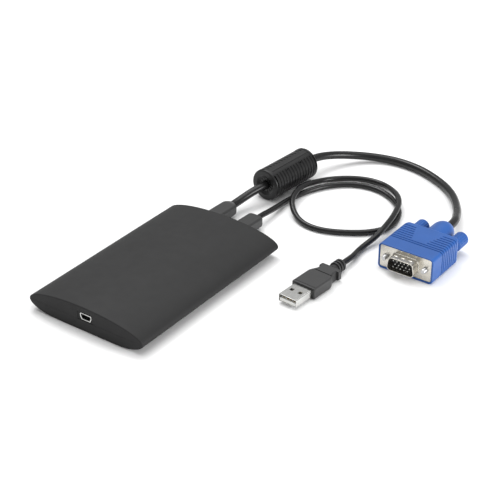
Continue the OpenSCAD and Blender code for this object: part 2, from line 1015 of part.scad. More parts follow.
// Wedge about the y axis between two angles, counted from straight up towards +x
module wedge(from, to, y0, length, r) {
    steps = max(2, ceil((to - from) / 15));
    along_y(y0, length)
        polygon(concat([[0, 0]], [for (i = [0:steps]) let (a = from + (to - from) * i / steps)
            [r * sin(a), r * cos(a)]]));
}

// Ribbed barrel of the ferrite with smooth collars, a dished end and a cable hole each
rib_room = ferrite_l - 2 * collar_l;
rib_count = floor((rib_room - rib_groove_w) / rib_pitch) + 1;
module ferrite_barrel() {
    hole_r = video_cord_d / 2 + hole_gap;
    half = ferrite_l / 2;
    difference() {
        union() {
            difference() {
                turned_y([
                    [0, -half], [ferrite_r - ferrite_edge, -half], [ferrite_r, -half + ferrite_edge],
                    [ferrite_r, -half + collar_l], [barrel_r, -half + collar_l],
                    [barrel_r, half - collar_l], [ferrite_r, half - collar_l],
                    [ferrite_r, half - ferrite_edge], [ferrite_r - ferrite_edge, half], [0, half]
                ]);
                for (i = [0:rib_count - 1])
                    turned_y([
                        for (corner = [[0, -1], [rib_depth + over, -1], [rib_depth + over, 1], [0, 1]])
                            [barrel_r - rib_depth + corner[0],
                                (i - (rib_count - 1) / 2) * rib_pitch + corner[1] * rib_groove_w / 2]
                    ]);
            }
            intersection() {
                rod_y(-half + collar_l, ferrite_l - 2 * collar_l, barrel_r);
                wedge(strip_from, strip_to, -half, ferrite_l, 2 * ferrite_r);
            }
        }
        rod_y(-half + ferrite_end_t, ferrite_l - 2 * ferrite_end_t, core_room_r);
        rod_y(-half - over, ferrite_l + 2 * over, hole_r);
        for (s = [-1, 1]) {
            rod_y(s * (half - ferrite_dish_depth / 2 + over / 2) - (ferrite_dish_depth + over) / 2,
                ferrite_dish_depth + over, ferrite_dish_r);
            for (i = [0:finger_count - 1])
                rotate([0, 360 * (i + 0.5) / finger_count, 0])
                    block((hole_r + ferrite_dish_r) / 2, s * (half - ferrite_end_t / 2), -finger_slot_w / 2,
                        ferrite_dish_r - hole_r, ferrite_end_t + fit, finger_slot_w);
            for (range = slit_ranges)
                intersection() {
                    wedge(range[0], range[1], s * (half - slit_in) - slit_w / 2, slit_w, 2 * ferrite_r);
                    difference() {
                        rod_y(-half, ferrite_l, 2 * ferrite_r);
                        rod_y(-half - over, ferrite_l + 2 * over, ferrite_r - slit_depth);
                    }
                }
            rotate([0, window_angle - 90, 0])
                block(ferrite_r, s * latch_y, -window_h / 2, 2 * slit_depth, window_w, window_h);
        }
    }
}

// Hinge knuckles of the lower case, with the moulded pin between them
module lower_knuckles() {
    for (s = [-1, 1])
        translate([0, s * (hinge_half_l + hinge_knuckle_l / 2) - hinge_knuckle_l / 2, 0]) {
            translate([hinge_x, 0, 0])
                rod_y(0, hinge_knuckle_l, hinge_r);
            translate([hinge_x, 0, -hinge_r])
                cube([hinge_out + rib_depth + collar_r_step + ferrite_wall / 2, hinge_knuckle_l, hinge_r]);
        }
    translate([hinge_x, 0, 0])
        rod_y(-hinge_half_l, 2 * hinge_half_l, hinge_pin_r);
}

// Hinge hook of the lid, open on its far side so that it clips on the pin
module upper_knuckle() {
    length = 2 * (hinge_half_l - hinge_end_gap);
    difference() {
        union() {
            translate([hinge_x, 0, 0])
                rod_y(-length / 2, length, hinge_r);
            translate([hinge_x, -length / 2, 0])
                cube([hinge_out + rib_depth + collar_r_step + ferrite_wall / 2, length, hinge_r]);
        }
        translate([hinge_x, 0, 0])
            rod_y(-length, 2 * length, hinge_pin_r + running_fit);
        translate([hinge_x - 2 * hinge_r, -length, -hinge_slot_w / 2])
            cube([2 * hinge_r, 2 * length, hinge_slot_w]);
    }
}

latch_x = ferrite_r - latch_in;
module ferrite_lower_case() {
    color(ferrite_grey)
        at_ferrite()
            difference() {
                union() {
                    difference() {
                        ferrite_barrel();
                        block(0, 0, 0, 4 * ferrite_r, 2 * ferrite_l, 2 * ferrite_r);
                    }
                    lower_knuckles();
                }
                for (s = [-1, 1]) {
                    block(latch_x - latch_t / 2, s * latch_y, -latch_drop - latch_gap, latch_t + 2 * latch_gap,
                        latch_w + 2 * latch_gap, latch_drop + 2 * latch_gap);
                    block(ferrite_r, s * latch_y, -latch_drop, 2 * latch_in, latch_w / 2, latch_drop / 2);
                }
            }
}

module ferrite_upper_case() {
    color(ferrite_grey)
        at_ferrite()
            union() {
                difference() {
                    ferrite_barrel();
                    block(0, 0, -2 * ferrite_r, 4 * ferrite_r, 2 * ferrite_l, 2 * ferrite_r);
                }
                upper_knuckle();
                for (s = [-1, 1])
                    block(latch_x - latch_t / 2, s * latch_y, -latch_drop, latch_t, latch_w,
                        latch_drop + 2 * fit);
            }
}

module half_core(side) {
    color(core_grey)
        at_ferrite()
            difference() {
                rod_y(-core_l / 2, core_l, core_r);
                rod_y(-core_l, 2 * core_l, video_cord_d / 2 + core_bore_gap);
                block(0, 0, side > 0 ? -2 * ferrite_r : 0, 4 * ferrite_r, 2 * ferrite_l, 2 * ferrite_r);
            }
}

module ferrite_lower_core() {
    half_core(-1);
}

module ferrite_upper_core() {
    half_core(1);
}

module at_video_plug() {
    translate([video_x, video_y, 0])
        children();
}

module at_thumbscrews() {
    for (s = [-1, 1])
        translate([s * screw_gap / 2, 0, face_z])
            children();
}

// Grooves round the hood at one place, deep enough to show as a line
module hood_groove(y, panel_w) {
    difference() {
        translate([0, 0, hood_z])
            along_y(y, groove_w)
                difference() {
                    square([2 * hood_w, 2 * hood_h], center = true);
                    round_rect(hood_w - 2 * groove_depth, hood_h - 2 * groove_depth, hood_corner_r);
                }
        if (panel_w > 0)
            block(0, y, -over, panel_w, 4 * groove_w, hood_h + 2 * over);
    }
}

module video_hood() {
    ribs = floor((hood_l - hood_rear_r - grip_rib_y) / grip_rib_pitch);
    tail_reach = tail_l - tail_flat;
    tail_r = tail_d / 2;
    color(hood_blue)
        at_video_plug()
            difference() {
                union() {
                    intersection() {
                        translate([0, 0, hood_z])
                            along_y(0, hood_l)
                                round_rect(hood_w, hood_h, hood_corner_r);
                        translate([0, hood_l / 2 - hood_rear_r, 0])
                            linear_extrude(hood_h)
                                round_rect(hood_w, hood_l + 2 * hood_rear_r, hood_rear_r);
                    }
                    translate([0, 0, hood_z])
                        turned_y(concat(
                            [[0, hood_l - over], [tail_r, hood_l - over], [tail_r, hood_l + tail_flat]],
                            [for (i = [1:9]) let (a = 10 * i)
                                [tail_end_r + (tail_r - tail_end_r) * cos(a),
                                    hood_l + tail_flat + tail_reach * sin(a)]],
                            [[0, hood_l + tail_l]]
                        ));
                }
                for (i = [0, 1])
                    hood_groove(groove_y + i * groove_gap, 0);
                for (i = [0:ribs])
                    hood_groove(grip_rib_y + i * grip_rib_pitch,
                        panel_front_w + (panel_rear_w - panel_front_w) * i / ribs);
                translate([0, 0, face_z]) {
                    along_y(-over, over + plate_set_back + plate_t)
                        round_rect(plate_w + 2 * fit, plate_h + 2 * fit, plate_corner_r + fit);
                    along_y(0, mould_end + mould_gap)
                        square([mould_w + 2 * mould_gap, mould_h + 2 * mould_gap], center = true);
                }
                at_thumbscrews()
                    rod_y(-over, hood_l + 2 * over, screw_bore_r);
            }
}

// Outline of the plug's shell, with its wide side below
function shell_outline(inset) =
    let (h = shell_h / 2 - inset, wide = shell_wide / 2 - inset, narrow = shell_narrow / 2 - inset)
    rounded([[narrow, h], [-narrow, h], [-wide, -h], [wide, -h]], shell_corner_r - inset);

module video_face_plate() {
    color(metal)
        at_video_plug()
            difference() {
                union() {
                    translate([0, 0, face_z])
                        along_y(plate_set_back, plate_t)
                            round_rect(plate_w, plate_h, plate_corner_r);
                    translate([0, 0, face_z])
                        along_y(plate_set_back - shell_depth, shell_depth + plate_t / 2)
                            polygon(shell_outline(0));
                }
                translate([0, 0, face_z])
                    along_y(-2 * shell_depth, 4 * shell_depth)
                        polygon(shell_outline(shell_wall));
                at_thumbscrews()
                    rod_y(-shell_depth, 2 * shell_depth, screw_bore_r);
            }
}

module video_insulator() {
    color(chip_black)
        at_video_plug()
            difference() {
                translate([0, 0, face_z])
                    along_y(plate_set_back - insulator_proud, insulator_back + insulator_proud - plate_set_back)
                        polygon(shell_outline(shell_wall + insulator_gap));
                at_pins()
                    rod_y(-shell_depth, 4 * shell_depth, pin_r + fit / 4);
            }
}

module at_pins() {
    for (row = [0:pin_rows - 1])
        for (i = [0:pins_per_row - 1])
            translate([(i - (pins_per_row - 1) / 2 + (row == 1 ? pin_shift_share : -pin_shift_share)) * pin_pitch, 0,
                    face_z + (row - (pin_rows - 1) / 2) * pin_row_gap])
                children();
}

module video_pins() {
    color(gold)
        at_video_plug()
            at_pins() {
                rod_y(plate_set_back - pin_out, pin_out + insulator_back + pin_tail - plate_set_back, pin_r);
                translate([0, plate_set_back - pin_out, 0])
                    sphere(pin_r, $fn = 24);
            }
}

module video_inner_mould() {
    color(chip_black)
        at_video_plug()
            block(0, (mould_start + mould_end) / 2, face_z - mould_h / 2, mould_w, mould_end - mould_start,
                mould_h);
}

// Shank and threaded tip of one thumbscrew: side is -1 for the left one and 1 for the right one
module thumbscrew(side) {
    color(metal)
        at_video_plug()
            translate([side * screw_gap / 2, 0, face_z]) {
                rod_y(-thread_out, thread_out, thread_r);
                rod_y(-shank_out, shank_out + hood_l + knob_gap + knob_neck_l, shank_r);
            }
}

module knob(side) {
    start = hood_l + knob_gap;
    finish = start + knob_l;
    r = knob_d / 2;
    color(hood_blue)
        at_video_plug()
            translate([side * screw_gap / 2, 0, face_z])
                difference() {
                    turned_y([
                        [0, start], [knob_neck_r, start], [knob_neck_r, start + knob_neck_l / 2],
                        [r, start + knob_neck_l], [r, finish - knob_edge], [r - knob_edge, finish], [0, finish]
                    ]);
                    rod_y(start - over, knob_neck_l + over + fit / 2, shank_r + fit / 4);
                    for (i = [0:knob_groove_count - 1])
                        rotate([0, 360 * i / knob_groove_count, 0])
                            translate([r, 0, 0])
                                rod_y(start + knob_neck_l, knob_l - 2 * knob_neck_l, knob_groove_r);
                }
}

module left_thumbscrew() {
    thumbscrew(-1);
}

module right_thumbscrew() {
    thumbscrew(1);
}

module left_knob() {
    knob(-1);
}

module right_knob() {
    knob(1);
}

module at_data_plug() {
    translate([data_x, data_y, 0])
        rotate([0, 0, -data_turn])
            children();
}

// Plan of the grip: a block that narrows to a waist
function grip_plan() = [
    [-grip_w / 2, sleeve_l], [grip_w / 2, sleeve_l], [grip_w / 2, grip_end],
    [waist_w / 2, grip_end + waist_l], [waist_w / 2, wing_front + wing_t / 2],
    [-waist_w / 2, wing_front + wing_t / 2], [-waist_w / 2, grip_end + waist_l], [-grip_w / 2, grip_end]
];

module data_grip() {
    color(gland_grey)
        at_data_plug()
            difference() {
                union() {
                    intersection() {
                        translate([0, 0, grip_z - grip_h / 2])
                            linear_extrude(grip_h)
                                polygon(grip_plan());
                        translate([0, 0, grip_z])
                            along_y(sleeve_l, wing_front + wing_t - sleeve_l)
                                round_rect(grip_w, grip_h, grip_edge_r);
                    }
                    translate([0, 0, grip_z])
                        along_y(wing_front, wing_t)
                            round_rect(wing_w, wing_h, grip_edge_r);
                    translate([0, 0, grip_z])
                        turned_y(concat(
                            [[0, neck_start - over], [neck_w / 2, neck_start - over], [neck_w / 2, neck_start],
                                [boot_r, boot_start]],
                            [for (i = [0:boot_ring_count - 1]) let (y = boot_start + (i + 1) * boot_ring_gap - boot_ring_w)
                                each [[boot_r, y], [boot_ring_r, y], [boot_ring_r, y + boot_ring_w],
                                    [boot_r, y + boot_ring_w]]],
                            [[boot_r, boot_end], [0, boot_end]]
                        ));
                }
                translate([0, 0, grip_z])
                    along_y(sleeve_l - over, over + sleeve_tail + data_mould_l)
                        square([sleeve_w + 2 * fit, sleeve_h + 2 * fit], center = true);
                block(0, grip_end + grip_groove_in, grip_z + grip_h / 2 - grip_groove_depth, grip_w,
                    grip_groove_w, 2 * grip_groove_depth);
            }
}

module data_sleeve() {
    color(metal)
        at_data_plug()
            difference() {
                translate([0, 0, grip_z])
                    along_y(0, sleeve_l + sleeve_tail)
                        round_rect(sleeve_w, sleeve_h, sleeve_corner_r);
                translate([0, 0, grip_z])
                    along_y(-over, sleeve_l + sleeve_tail + 2 * over)
                        round_rect(sleeve_w - 2 * sleeve_wall, sleeve_h - 2 * sleeve_wall,
                            sleeve_corner_r - sleeve_wall);
                for (s = [-1, 1])
                    block(s * sleeve_hole_x_share * sleeve_w, sleeve_hole_share * sleeve_l, grip_z,
                        sleeve_hole, sleeve_hole, sleeve_h);
            }
}

module data_tongue() {
    length = sleeve_l + sleeve_tail - data_tongue_in;
    color(white)
        at_data_plug()
            block(0, data_tongue_in + length / 2, grip_z - sleeve_h / 2 + sleeve_wall,
                sleeve_w - 2 * sleeve_corner_r, length, data_tongue_h);
}

module data_contacts() {
    color(gold)
        at_data_plug()
            for (x = data_contact_xs)
                block(x, data_tongue_in + data_contact_in + data_contact_l / 2,
                    grip_z - sleeve_h / 2 + sleeve_wall + data_tongue_h, data_contact_w, data_contact_l,
                    data_contact_t);
}

module data_inner_mould() {
    start = sleeve_l + sleeve_tail;
    color(chip_black)
        at_data_plug()
            block(0, start + data_mould_l / 2 - fit / 2, grip_z - sleeve_h / 2, sleeve_w,
                data_mould_l - fit, sleeve_h);
}

bottom_shell();
top_shell();
case_screws();
circuit_board();
board_screws();
video_chip();
processor_chip();
memory_chip();
data_chip();
keyboard_chip();
firmware_chip();
regulators();
crystals();
capacitors();
power_coil();
port_sleeve();
port_tongue();
port_contacts();
video_header();
data_header();
video_wire_plug();
data_wire_plug();
video_inner_lead();
data_inner_lead();
video_gland();
data_gland();
video_cord();
data_cord();
ferrite_lower_case();
ferrite_lower_core();
ferrite_upper_case();
ferrite_upper_core();
video_hood();
video_face_plate();
video_insulator();
video_pins();
video_inner_mould();
left_thumbscrew();
left_knob();
right_thumbscrew();
right_knob();
data_grip();
data_sleeve();
data_tongue();
data_contacts();
data_inner_mould();
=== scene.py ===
"""Looks of a crash cart adapter: a flat case, its two cords and their plugs."""

import json
import math

import bmesh
import bpy
from mathutils import Matrix, Vector

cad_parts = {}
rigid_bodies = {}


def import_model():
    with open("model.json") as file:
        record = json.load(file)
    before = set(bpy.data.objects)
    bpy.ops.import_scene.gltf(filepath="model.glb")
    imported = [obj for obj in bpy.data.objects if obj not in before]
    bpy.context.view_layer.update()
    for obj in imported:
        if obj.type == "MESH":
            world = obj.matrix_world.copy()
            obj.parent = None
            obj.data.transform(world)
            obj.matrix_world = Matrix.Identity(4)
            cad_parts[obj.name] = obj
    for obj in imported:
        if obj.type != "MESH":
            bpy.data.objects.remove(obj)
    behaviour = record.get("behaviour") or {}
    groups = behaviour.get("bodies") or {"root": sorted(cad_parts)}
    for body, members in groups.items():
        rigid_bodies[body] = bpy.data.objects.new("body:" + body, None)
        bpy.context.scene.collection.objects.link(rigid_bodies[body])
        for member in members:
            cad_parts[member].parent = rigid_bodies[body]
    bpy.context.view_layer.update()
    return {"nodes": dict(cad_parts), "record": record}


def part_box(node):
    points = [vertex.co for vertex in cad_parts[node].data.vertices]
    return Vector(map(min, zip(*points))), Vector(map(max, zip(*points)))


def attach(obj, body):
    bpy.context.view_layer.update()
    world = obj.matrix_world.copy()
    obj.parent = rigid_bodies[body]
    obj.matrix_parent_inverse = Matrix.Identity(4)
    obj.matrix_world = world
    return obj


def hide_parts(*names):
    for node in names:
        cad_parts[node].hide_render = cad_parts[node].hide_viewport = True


for start_object in list(bpy.data.objects):
    bpy.data.objects.remove(start_object)

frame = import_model()

# Everything below is in millimetres and becomes metres when a mesh is made
MM = 0.001


def box_mm(node):
    """Lowest and highest corner of a CAD node, in millimetres."""
    low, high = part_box(node)
    return Vector(low) / MM, Vector(high) / MM


def add_object(name, data):
    """New object in the scene."""
    obj = bpy.data.objects.new(name, data)
    bpy.context.scene.collection.objects.link(obj)
    return obj


# Camera, from the photograph's perspective

camera_at = (416.8, -493.5, 404.2)
camera_yaw = 35.69
camera_pitch = 30.8
camera_lens = 99.3
camera_sensor = 36
camera_reach = 100000

camera_data = bpy.data.cameras.new("camera")
camera_data.lens = camera_lens
camera_data.sensor_width = camera_sensor
camera_data.clip_end = camera_reach * MM
camera = add_object("camera", camera_data)
camera.location = Vector(camera_at) * MM
camera.rotation_euler = (math.radians(90 - camera_pitch), 0, math.radians(camera_yaw))
bpy.context.scene.camera = camera


# Materials

tone_from = 0.3
tone_to = 0.7
mottle_detail = 4
smudge_detail = 5
grain_detail = 2
smudge_share = 3
least_roughness = 0.02


def add_node(tree, kind, **values):
    """New shader node with its inputs set by name."""
    node = tree.nodes.new(kind)
    for name, value in values.items():
        node.inputs[name.replace("_", " ")].default_value = value
    return node


def connect(source, output, target, entry):
    """Link from one node's output to another node's input."""
    source.id_data.links.new(source.outputs[output], target.inputs[entry])


def noise_node(tree, coordinates, scale, detail, stretch):
    """Noise over the object's own coordinates, its scale counted per metre."""
    mapping = add_node(tree, "ShaderNodeMapping", Scale=stretch)
    noise = add_node(tree, "ShaderNodeTexNoise", Scale=scale, Detail=detail)
    connect(coordinates, "Object", mapping, "Vector")
    connect(mapping, "Vector", noise, "Vector")
    return noise


def surface(
    name,
    colour,
    roughness,
    tone_spread=0.08,
    rough_spread=0.06,
    grain_scale=1500,
    grain_height=0.02,
    grain_strength=0.3,
    mottle_scale=60,
    stretch=(1, 1, 1),
    **settings,
):
    """Procedural material: a mottled colour, uneven roughness and a fine grain."""
    material = bpy.data.materials.new(name)
    material.use_nodes = True
    tree = material.node_tree
    shader = tree.nodes["Principled BSDF"]
    shader.inputs["Roughness"].default_value = roughness
    for key, value in settings.items():
        shader.inputs[key.replace("_", " ")].default_value = value
    coordinates = add_node(tree, "ShaderNodeTexCoord")

    mottle = noise_node(tree, coordinates, mottle_scale, mottle_detail, stretch)
    tone = add_node(tree, "ShaderNodeValToRGB")
    dark, light = tone.color_ramp.elements
    dark.position = tone_from
    light.position = tone_to
    dark.color = [c * (1 - tone_spread) for c in colour] + [1]
    light.color = [min(1, c * (1 + tone_spread)) for c in colour] + [1]
    connect(mottle, "Fac", tone, "Fac")
    connect(tone, "Color", shader, "Base Color")

    smudge = noise_node(tree, coordinates, mottle_scale * smudge_share, smudge_detail, stretch)
    spread = add_node(
        tree,
        "ShaderNodeMapRange",
        To_Min=max(least_roughness, roughness - rough_spread),
        To_Max=min(1, roughness + rough_spread),
    )
    connect(smudge, "Fac", spread, "Value")
    connect(spread, "Result", shader, "Roughness")

    grain = noise_node(tree, coordinates, grain_scale, grain_detail, stretch)
    bump = add_node(tree, "ShaderNodeBump", Strength=grain_strength, Distance=grain_height * MM)
    connect(grain, "Fac", bump, "Height")
    connect(bump, "Normal", shader, "Normal")
    return material


case_plastic = surface(
    "case_plastic", (0.0125, 0.0125, 0.0128), 0.62, rough_spread=0.05,
    grain_scale=2600, grain_height=0.03, grain_strength=0.5, Specular_IOR_Level=0.3,
)
gland_plastic = surface(
    "gland_plastic", (0.026, 0.026, 0.0265), 0.42, grain_scale=1800, Specular_IOR_Level=0.4
)
jacket = surface(
    "cord_jacket", (0.009, 0.009, 0.0093), 0.26, tone_spread=0.12, rough_spread=0.05,
    grain_strength=0.2, Specular_IOR_Level=0.35,
)
ferrite_plastic = surface(
    "ferrite_plastic", (0.01, 0.01, 0.0103), 0.36, grain_scale=1800, Specular_IOR_Level=0.35
)
ferrite_core = surface(
    "ferrite_core", (0.02, 0.02, 0.022), 0.75, tone_spread=0.25, rough_spread=0.1,
    grain_scale=1200, grain_height=0.05, grain_strength=0.5,
)
hood_plastic = surface(
    "hood_plastic", (0.014, 0.086, 0.325), 0.38, tone_spread=0.06,
    grain_scale=1400, grain_strength=0.25,
)
grip_plastic = surface(
    "grip_plastic", (0.022, 0.022, 0.0226), 0.44,
    grain_scale=1600, grain_height=0.03, grain_strength=0.45,
)
black_plastic = surface("black_plastic", (0.012, 0.012, 0.013), 0.45, tone_spread=0.1)
white_plastic = surface(
    "white_plastic", (0.82, 0.82, 0.79), 0.45, tone_spread=0.03, rough_spread=0.05,
    grain_strength=0.2,
)
chip_resin = surface(
    "chip_resin", (0.012, 0.012, 0.013), 0.6, tone_spread=0.15, grain_scale=2500, grain_strength=0.4
)
solder_mask = surface(
    "solder_mask", (0.008, 0.09, 0.035), 0.35, tone_spread=0.15, rough_spread=0.08,
    grain_scale=900, grain_strength=0.2,
)
metal_finish = {"rough_spread": 0.08, "grain_height": 0.01, "grain_strength": 0.15, "Metallic": 1}
nickel = surface(
    "nickel", (0.6, 0.575, 0.52), 0.28, tone_spread=0.06, grain_scale=1200,
    mottle_scale=80, stretch=(1, 1, 6), **metal_finish,
)
tin = surface(
    "tin", (0.62, 0.62, 0.605), 0.24, tone_spread=0.05, grain_scale=900,
    mottle_scale=90, stretch=(5, 1, 1), **metal_finish,
)
pin_metal = surface("pin_metal", (0.75, 0.76, 0.74), 0.25, tone_spread=0.06, **metal_finish)
gold = surface("gold", (0.85, 0.62, 0.28), 0.25, tone_spread=0.06, **metal_finish)
zinc = surface("zinc", (0.5, 0.5, 0.5), 0.35, tone_spread=0.12, rough_spread=0.1, Metallic=1)
floor_paper = surface(
    "floor_paper", (0.93, 0.93, 0.93), 0.9, tone_spread=0.003, rough_spread=0.03,
    grain_scale=400, grain_height=0.01, grain_strength=0.05,
)

# Material of each CAD node's slot
slot_materials = {
    "case_plastic": case_plastic,
    "grey_plastic": gland_plastic,
    "cord_jacket": jacket,
    "ferrite_plastic": ferrite_plastic,
    "core": ferrite_core,
    "blue_plastic": hood_plastic,
    "nickel": nickel,
    "bright_metal": tin,
    "screw_steel": zinc,
    "gold": gold,
    "board": solder_mask,
    "chip": chip_resin,
    "black_plastic": black_plastic,
    "white_plastic": white_plastic,
}
node_slots = {part["node"]: part["material_slot"] for part in frame["record"]["subparts"]}
for node_name, node in frame["nodes"].items():
    node.data.materials.clear()
    node.data.materials.append(slot_materials[node_slots[node_name]])


# Mesh tools: each part is a list of points in millimetres and a list of faces

merge_distance = 0.002
tiny = 0.01
sharp_angle = 32
corner_steps = 8
turned_segments = 48
rod_segments = 32
mark_decimals = 5

# Where a quarter turn starts, and the sides of x and z that it lies on
corners = ((0, 1, 1), (90, -1, 1), (180, -1, -1), (270, 1, -1))


def loft(rings):
    """Closed solid through rings of equal length, with a flat cap at each end."""
    columns = len(rings[0])
    points = [point for ring in rings for point in ring]
    faces = []
    for row in range(0, len(points) - columns, columns):
        for column in range(columns):
            following = (column + 1) % columns
            above = row + columns
            faces.append((row + column, row + following, above + following, above + column))
    faces.append(tuple(range(columns))[::-1])
    faces.append(tuple(range(len(points) - columns, len(points))))
    return points, faces


def at_depth(outline, y):
    """Ring of an x-z outline at one y."""
    return [(x, y, z) for x, z in outline]


def prism(outline, start, finish):
    """Prism along y."""
    return loft([at_depth(outline, start), at_depth(outline, finish)])


def distinct(marks):
    """Places in rising order, each of them once."""
    return sorted({round(mark, mark_decimals) for mark in marks})


def both_sides(near, far):
    """Span from near to far on either side of 0, each from its lower to its upper end."""
    return [(-far, -near), (near, far)]


def beside(middles, offsets):
    """Places at each offset to either side of each middle."""
    return [middle + side * off for middle in middles for side in (-1, 1) for off in offsets]


def full_turn(count):
    """Angles of a full turn in equal steps."""
    return [2 * math.pi * i / count for i in range(count)]


def quarter_shares(steps):
    """Pairs that fall from 1 to 0 and rise from 0 to 1 as a quarter of a circle does."""
    turns = [math.radians(90 * i / steps) for i in range(steps + 1)]
    return [(1 - math.sin(turn), 1 - math.cos(turn)) for turn in turns]


def corner_arc(centre_x, centre_z, radius, start):
    """Quarter of a circle in the x-z plane, with its ends."""
    turns = [math.radians(start + 90 * i / corner_steps) for i in range(corner_steps + 1)]
    return [(centre_x + radius * math.cos(a), centre_z + radius * math.sin(a)) for a in turns]


def round_rect(width, height, radius, centre_x=0, centre_z=0):
    """Outline of a rectangle with round corners."""
    half_w = width / 2 - radius
    half_h = height / 2 - radius
    outline = []
    for start, x_side, z_side in corners:
        outline += corner_arc(centre_x + x_side * half_w, centre_z + z_side * half_h, radius, start)
    return outline


def between(x, width, low, high, radius):
    """Rounded rectangle from its middle in x, its width and its lowest and highest z."""
    safe = min(radius, (high - low) / 2 - tiny, width / 2 - tiny)
    return round_rect(width, high - low, safe, x, (low + high) / 2)


def shrunk(outline, inset):
    """Outline moved inwards by inset along its own normals."""
    count = len(outline)
    moved_in = []
    for i, (x, z) in enumerate(outline):
        before = outline[i - 1]
        after = outline[(i + 1) % count]
        along = Vector((after[0] - before[0], after[1] - before[1])).normalized()
        moved_in.append((x - along.y * inset, z + along.x * inset))
    return moved_in


def rounded(points, radius, steps=6):
    """Outline through corner points, each rounded by an arc that touches both its sides."""
    outline = []
    for i, place in enumerate(points):
        corner = Vector(place)
        before = (Vector(points[i - 1]) - corner).normalized()
        after = (Vector(points[(i + 1) % len(points)]) - corner).normalized()
        half = before.angle(after) / 2
        centre = corner + (before + after).normalized() * radius / math.sin(half)
        start = (corner + before * radius / math.tan(half) - centre).normalized()
        end = (corner + after * radius / math.tan(half) - centre).normalized()
        arc = [centre + radius * start.slerp(end, step / steps) for step in range(steps + 1)]
        outline += [tuple(point) for point in arc]
    return outline


def soft_rings(section, start, finish, soft_start, soft_finish, steps=5):
    """Rings along y with round end edges, where section gives the outline at an inset."""
    rings = []
    for inset, along in quarter_shares(steps):
        rings.append(at_depth(section(soft_start * inset), start + soft_start * along))
    for along, inset in quarter_shares(steps):
        rings.append(at_depth(section(soft_finish * inset), finish - soft_finish * along))
    return rings


def rounded_prism(outline, start, finish, edge_start, edge_finish):
    """Prism along y whose end edges are rounded by the given radii."""

    def section(inset):
        return shrunk(outline, inset)

    return loft(soft_rings(section, start, finish, edge_start, edge_finish, steps=4))


def turned(profile, segments=turned_segments, centre=(0, 0)):
    """Solid of revolution about a line along y, through circles given as (radius, y)."""
    x, z = centre
    turns = full_turn(segments)
    return loft(
        [
            [(x + radius * math.cos(a), y, z - radius * math.sin(a)) for a in turns]
            for radius, y in profile
        ]
    )


def rod(x, z, start, finish, radius, segments=rod_segments):
    """Round rod along y."""
    return turned([(radius, start), (radius, finish)], segments, (x, z))


def uprights(places, low, high, radius):
    """Round posts along z, one at each place."""
    circle = [(radius * math.cos(a), radius * math.sin(a)) for a in full_turn(rod_segments)]
    return [loft([[(x + a, y + b, z) for a, b in circle] for z in (low, high)]) for x, y in places]


def block(low, high):
    """Plain box between two corners."""
    outline = [(high[0], low[2]), (high[0], high[2]), (low[0], high[2]), (low[0], low[2])]
    return prism(outline, low[1], high[1])


def block_at(middle, size):
    """Plain box from its middle and its size."""
    half = Vector(size) / 2
    return block(Vector(middle) - half, Vector(middle) + half)


def moved(part, matrix):
    """Part with its points moved by a matrix."""
    points, faces = part
    return [tuple(matrix @ Vector(point)) for point in points], faces


def placed(x, y, z, turn):
    """Matrix of a plug's or the ferrite's own frame, its y axis turned towards +x."""
    return Matrix.Translation((x, y, z)) @ Matrix.Rotation(math.radians(-turn), 4, "Z")


def soft_step(value):
    """Smooth rise from 0 to 1."""
    share = min(1, max(0, value))
    return share * share * (3 - 2 * share)


def groove_share(off, width, soft):
    """Share of a groove's depth at a distance from its middle, falling softly at its edges."""
    return 1 - soft_step((off - width / 2 + soft) / (2 * soft))


def round_inset(radius, reach):
    """How far in the surface of a round edge lies, reach being counted from where it starts."""
    return radius - math.sqrt(max(0, radius**2 - max(0, reach) ** 2))


def make_object(name, parts):
    """Object from parts in millimetres, its normals turned outwards."""
    points, faces = [], []
    for part_points, part_faces in parts:
        base = len(points)
        points += [Vector(point) * MM for point in part_points]
        faces += [tuple(base + index for index in face) for face in part_faces]
    mesh = bpy.data.meshes.new(name)
    mesh.from_pydata(points, [], faces)
    work = bmesh.new()
    work.from_mesh(mesh)
    bmesh.ops.remove_doubles(work, verts=work.verts, dist=merge_distance * MM)
    bmesh.ops.recalc_face_normals(work, faces=work.faces)
    work.to_mesh(mesh)
    work.free()
    return add_object(name, mesh)


def apply_modifiers(obj):
    """Replaces the object's mesh by what its modifiers make of it."""
    graph = bpy.context.evaluated_depsgraph_get()
    result = bpy.data.meshes.new_from_object(obj.evaluated_get(graph))
    obj.modifiers.clear()
    obj.data = result


def carve(obj, cutters, operation="DIFFERENCE"):
    """Cuts parts or one other object out of the object, joins them on or keeps what they share."""
    tool = cutters[0]
    if isinstance(tool, tuple):
        tool = make_object(f"{obj.name}_tool", cutters)
    modifier = obj.modifiers.new("cut", "BOOLEAN")
    modifier.operation = operation
    modifier.solver = "EXACT"
    modifier.object = tool
    apply_modifiers(obj)
    bpy.data.objects.remove(tool)


def finish_piece(obj, material, body, node):
    """Shades a piece smooth up to an angle, gives it its material and body, and hides the CAD node it
    stands in for.
    """
    work = bmesh.new()
    work.from_mesh(obj.data)
    bmesh.ops.remove_doubles(work, verts=work.verts, dist=merge_distance * MM)
    for face in work.faces:
        face.smooth = True
    for edge in work.edges:
        if len(edge.link_faces) == 2:
            edge.smooth = edge.calc_face_angle(0) < math.radians(sharp_angle)
    work.to_mesh(obj.data)
    work.free()
    weights = obj.modifiers.new("weights", "WEIGHTED_NORMAL")
    weights.keep_sharp = True
    apply_modifiers(obj)
    obj.data.materials.clear()
    obj.data.materials.append(material)
    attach(obj, body)
    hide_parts(node)


def finish_at(obj, own_frame, material, body, node):
    """Moves a piece from a plug's or the ferrite's own frame to its place and finishes it."""
    obj.data.transform(Matrix.Scale(MM, 4) @ own_frame @ Matrix.Scale(1 / MM, 4))
    finish_piece(obj, material, body, node)


# Sizes that the pieces share

# Clearance between two pieces, and how far a cut reaches past a face
fit = 0.1
over = 1

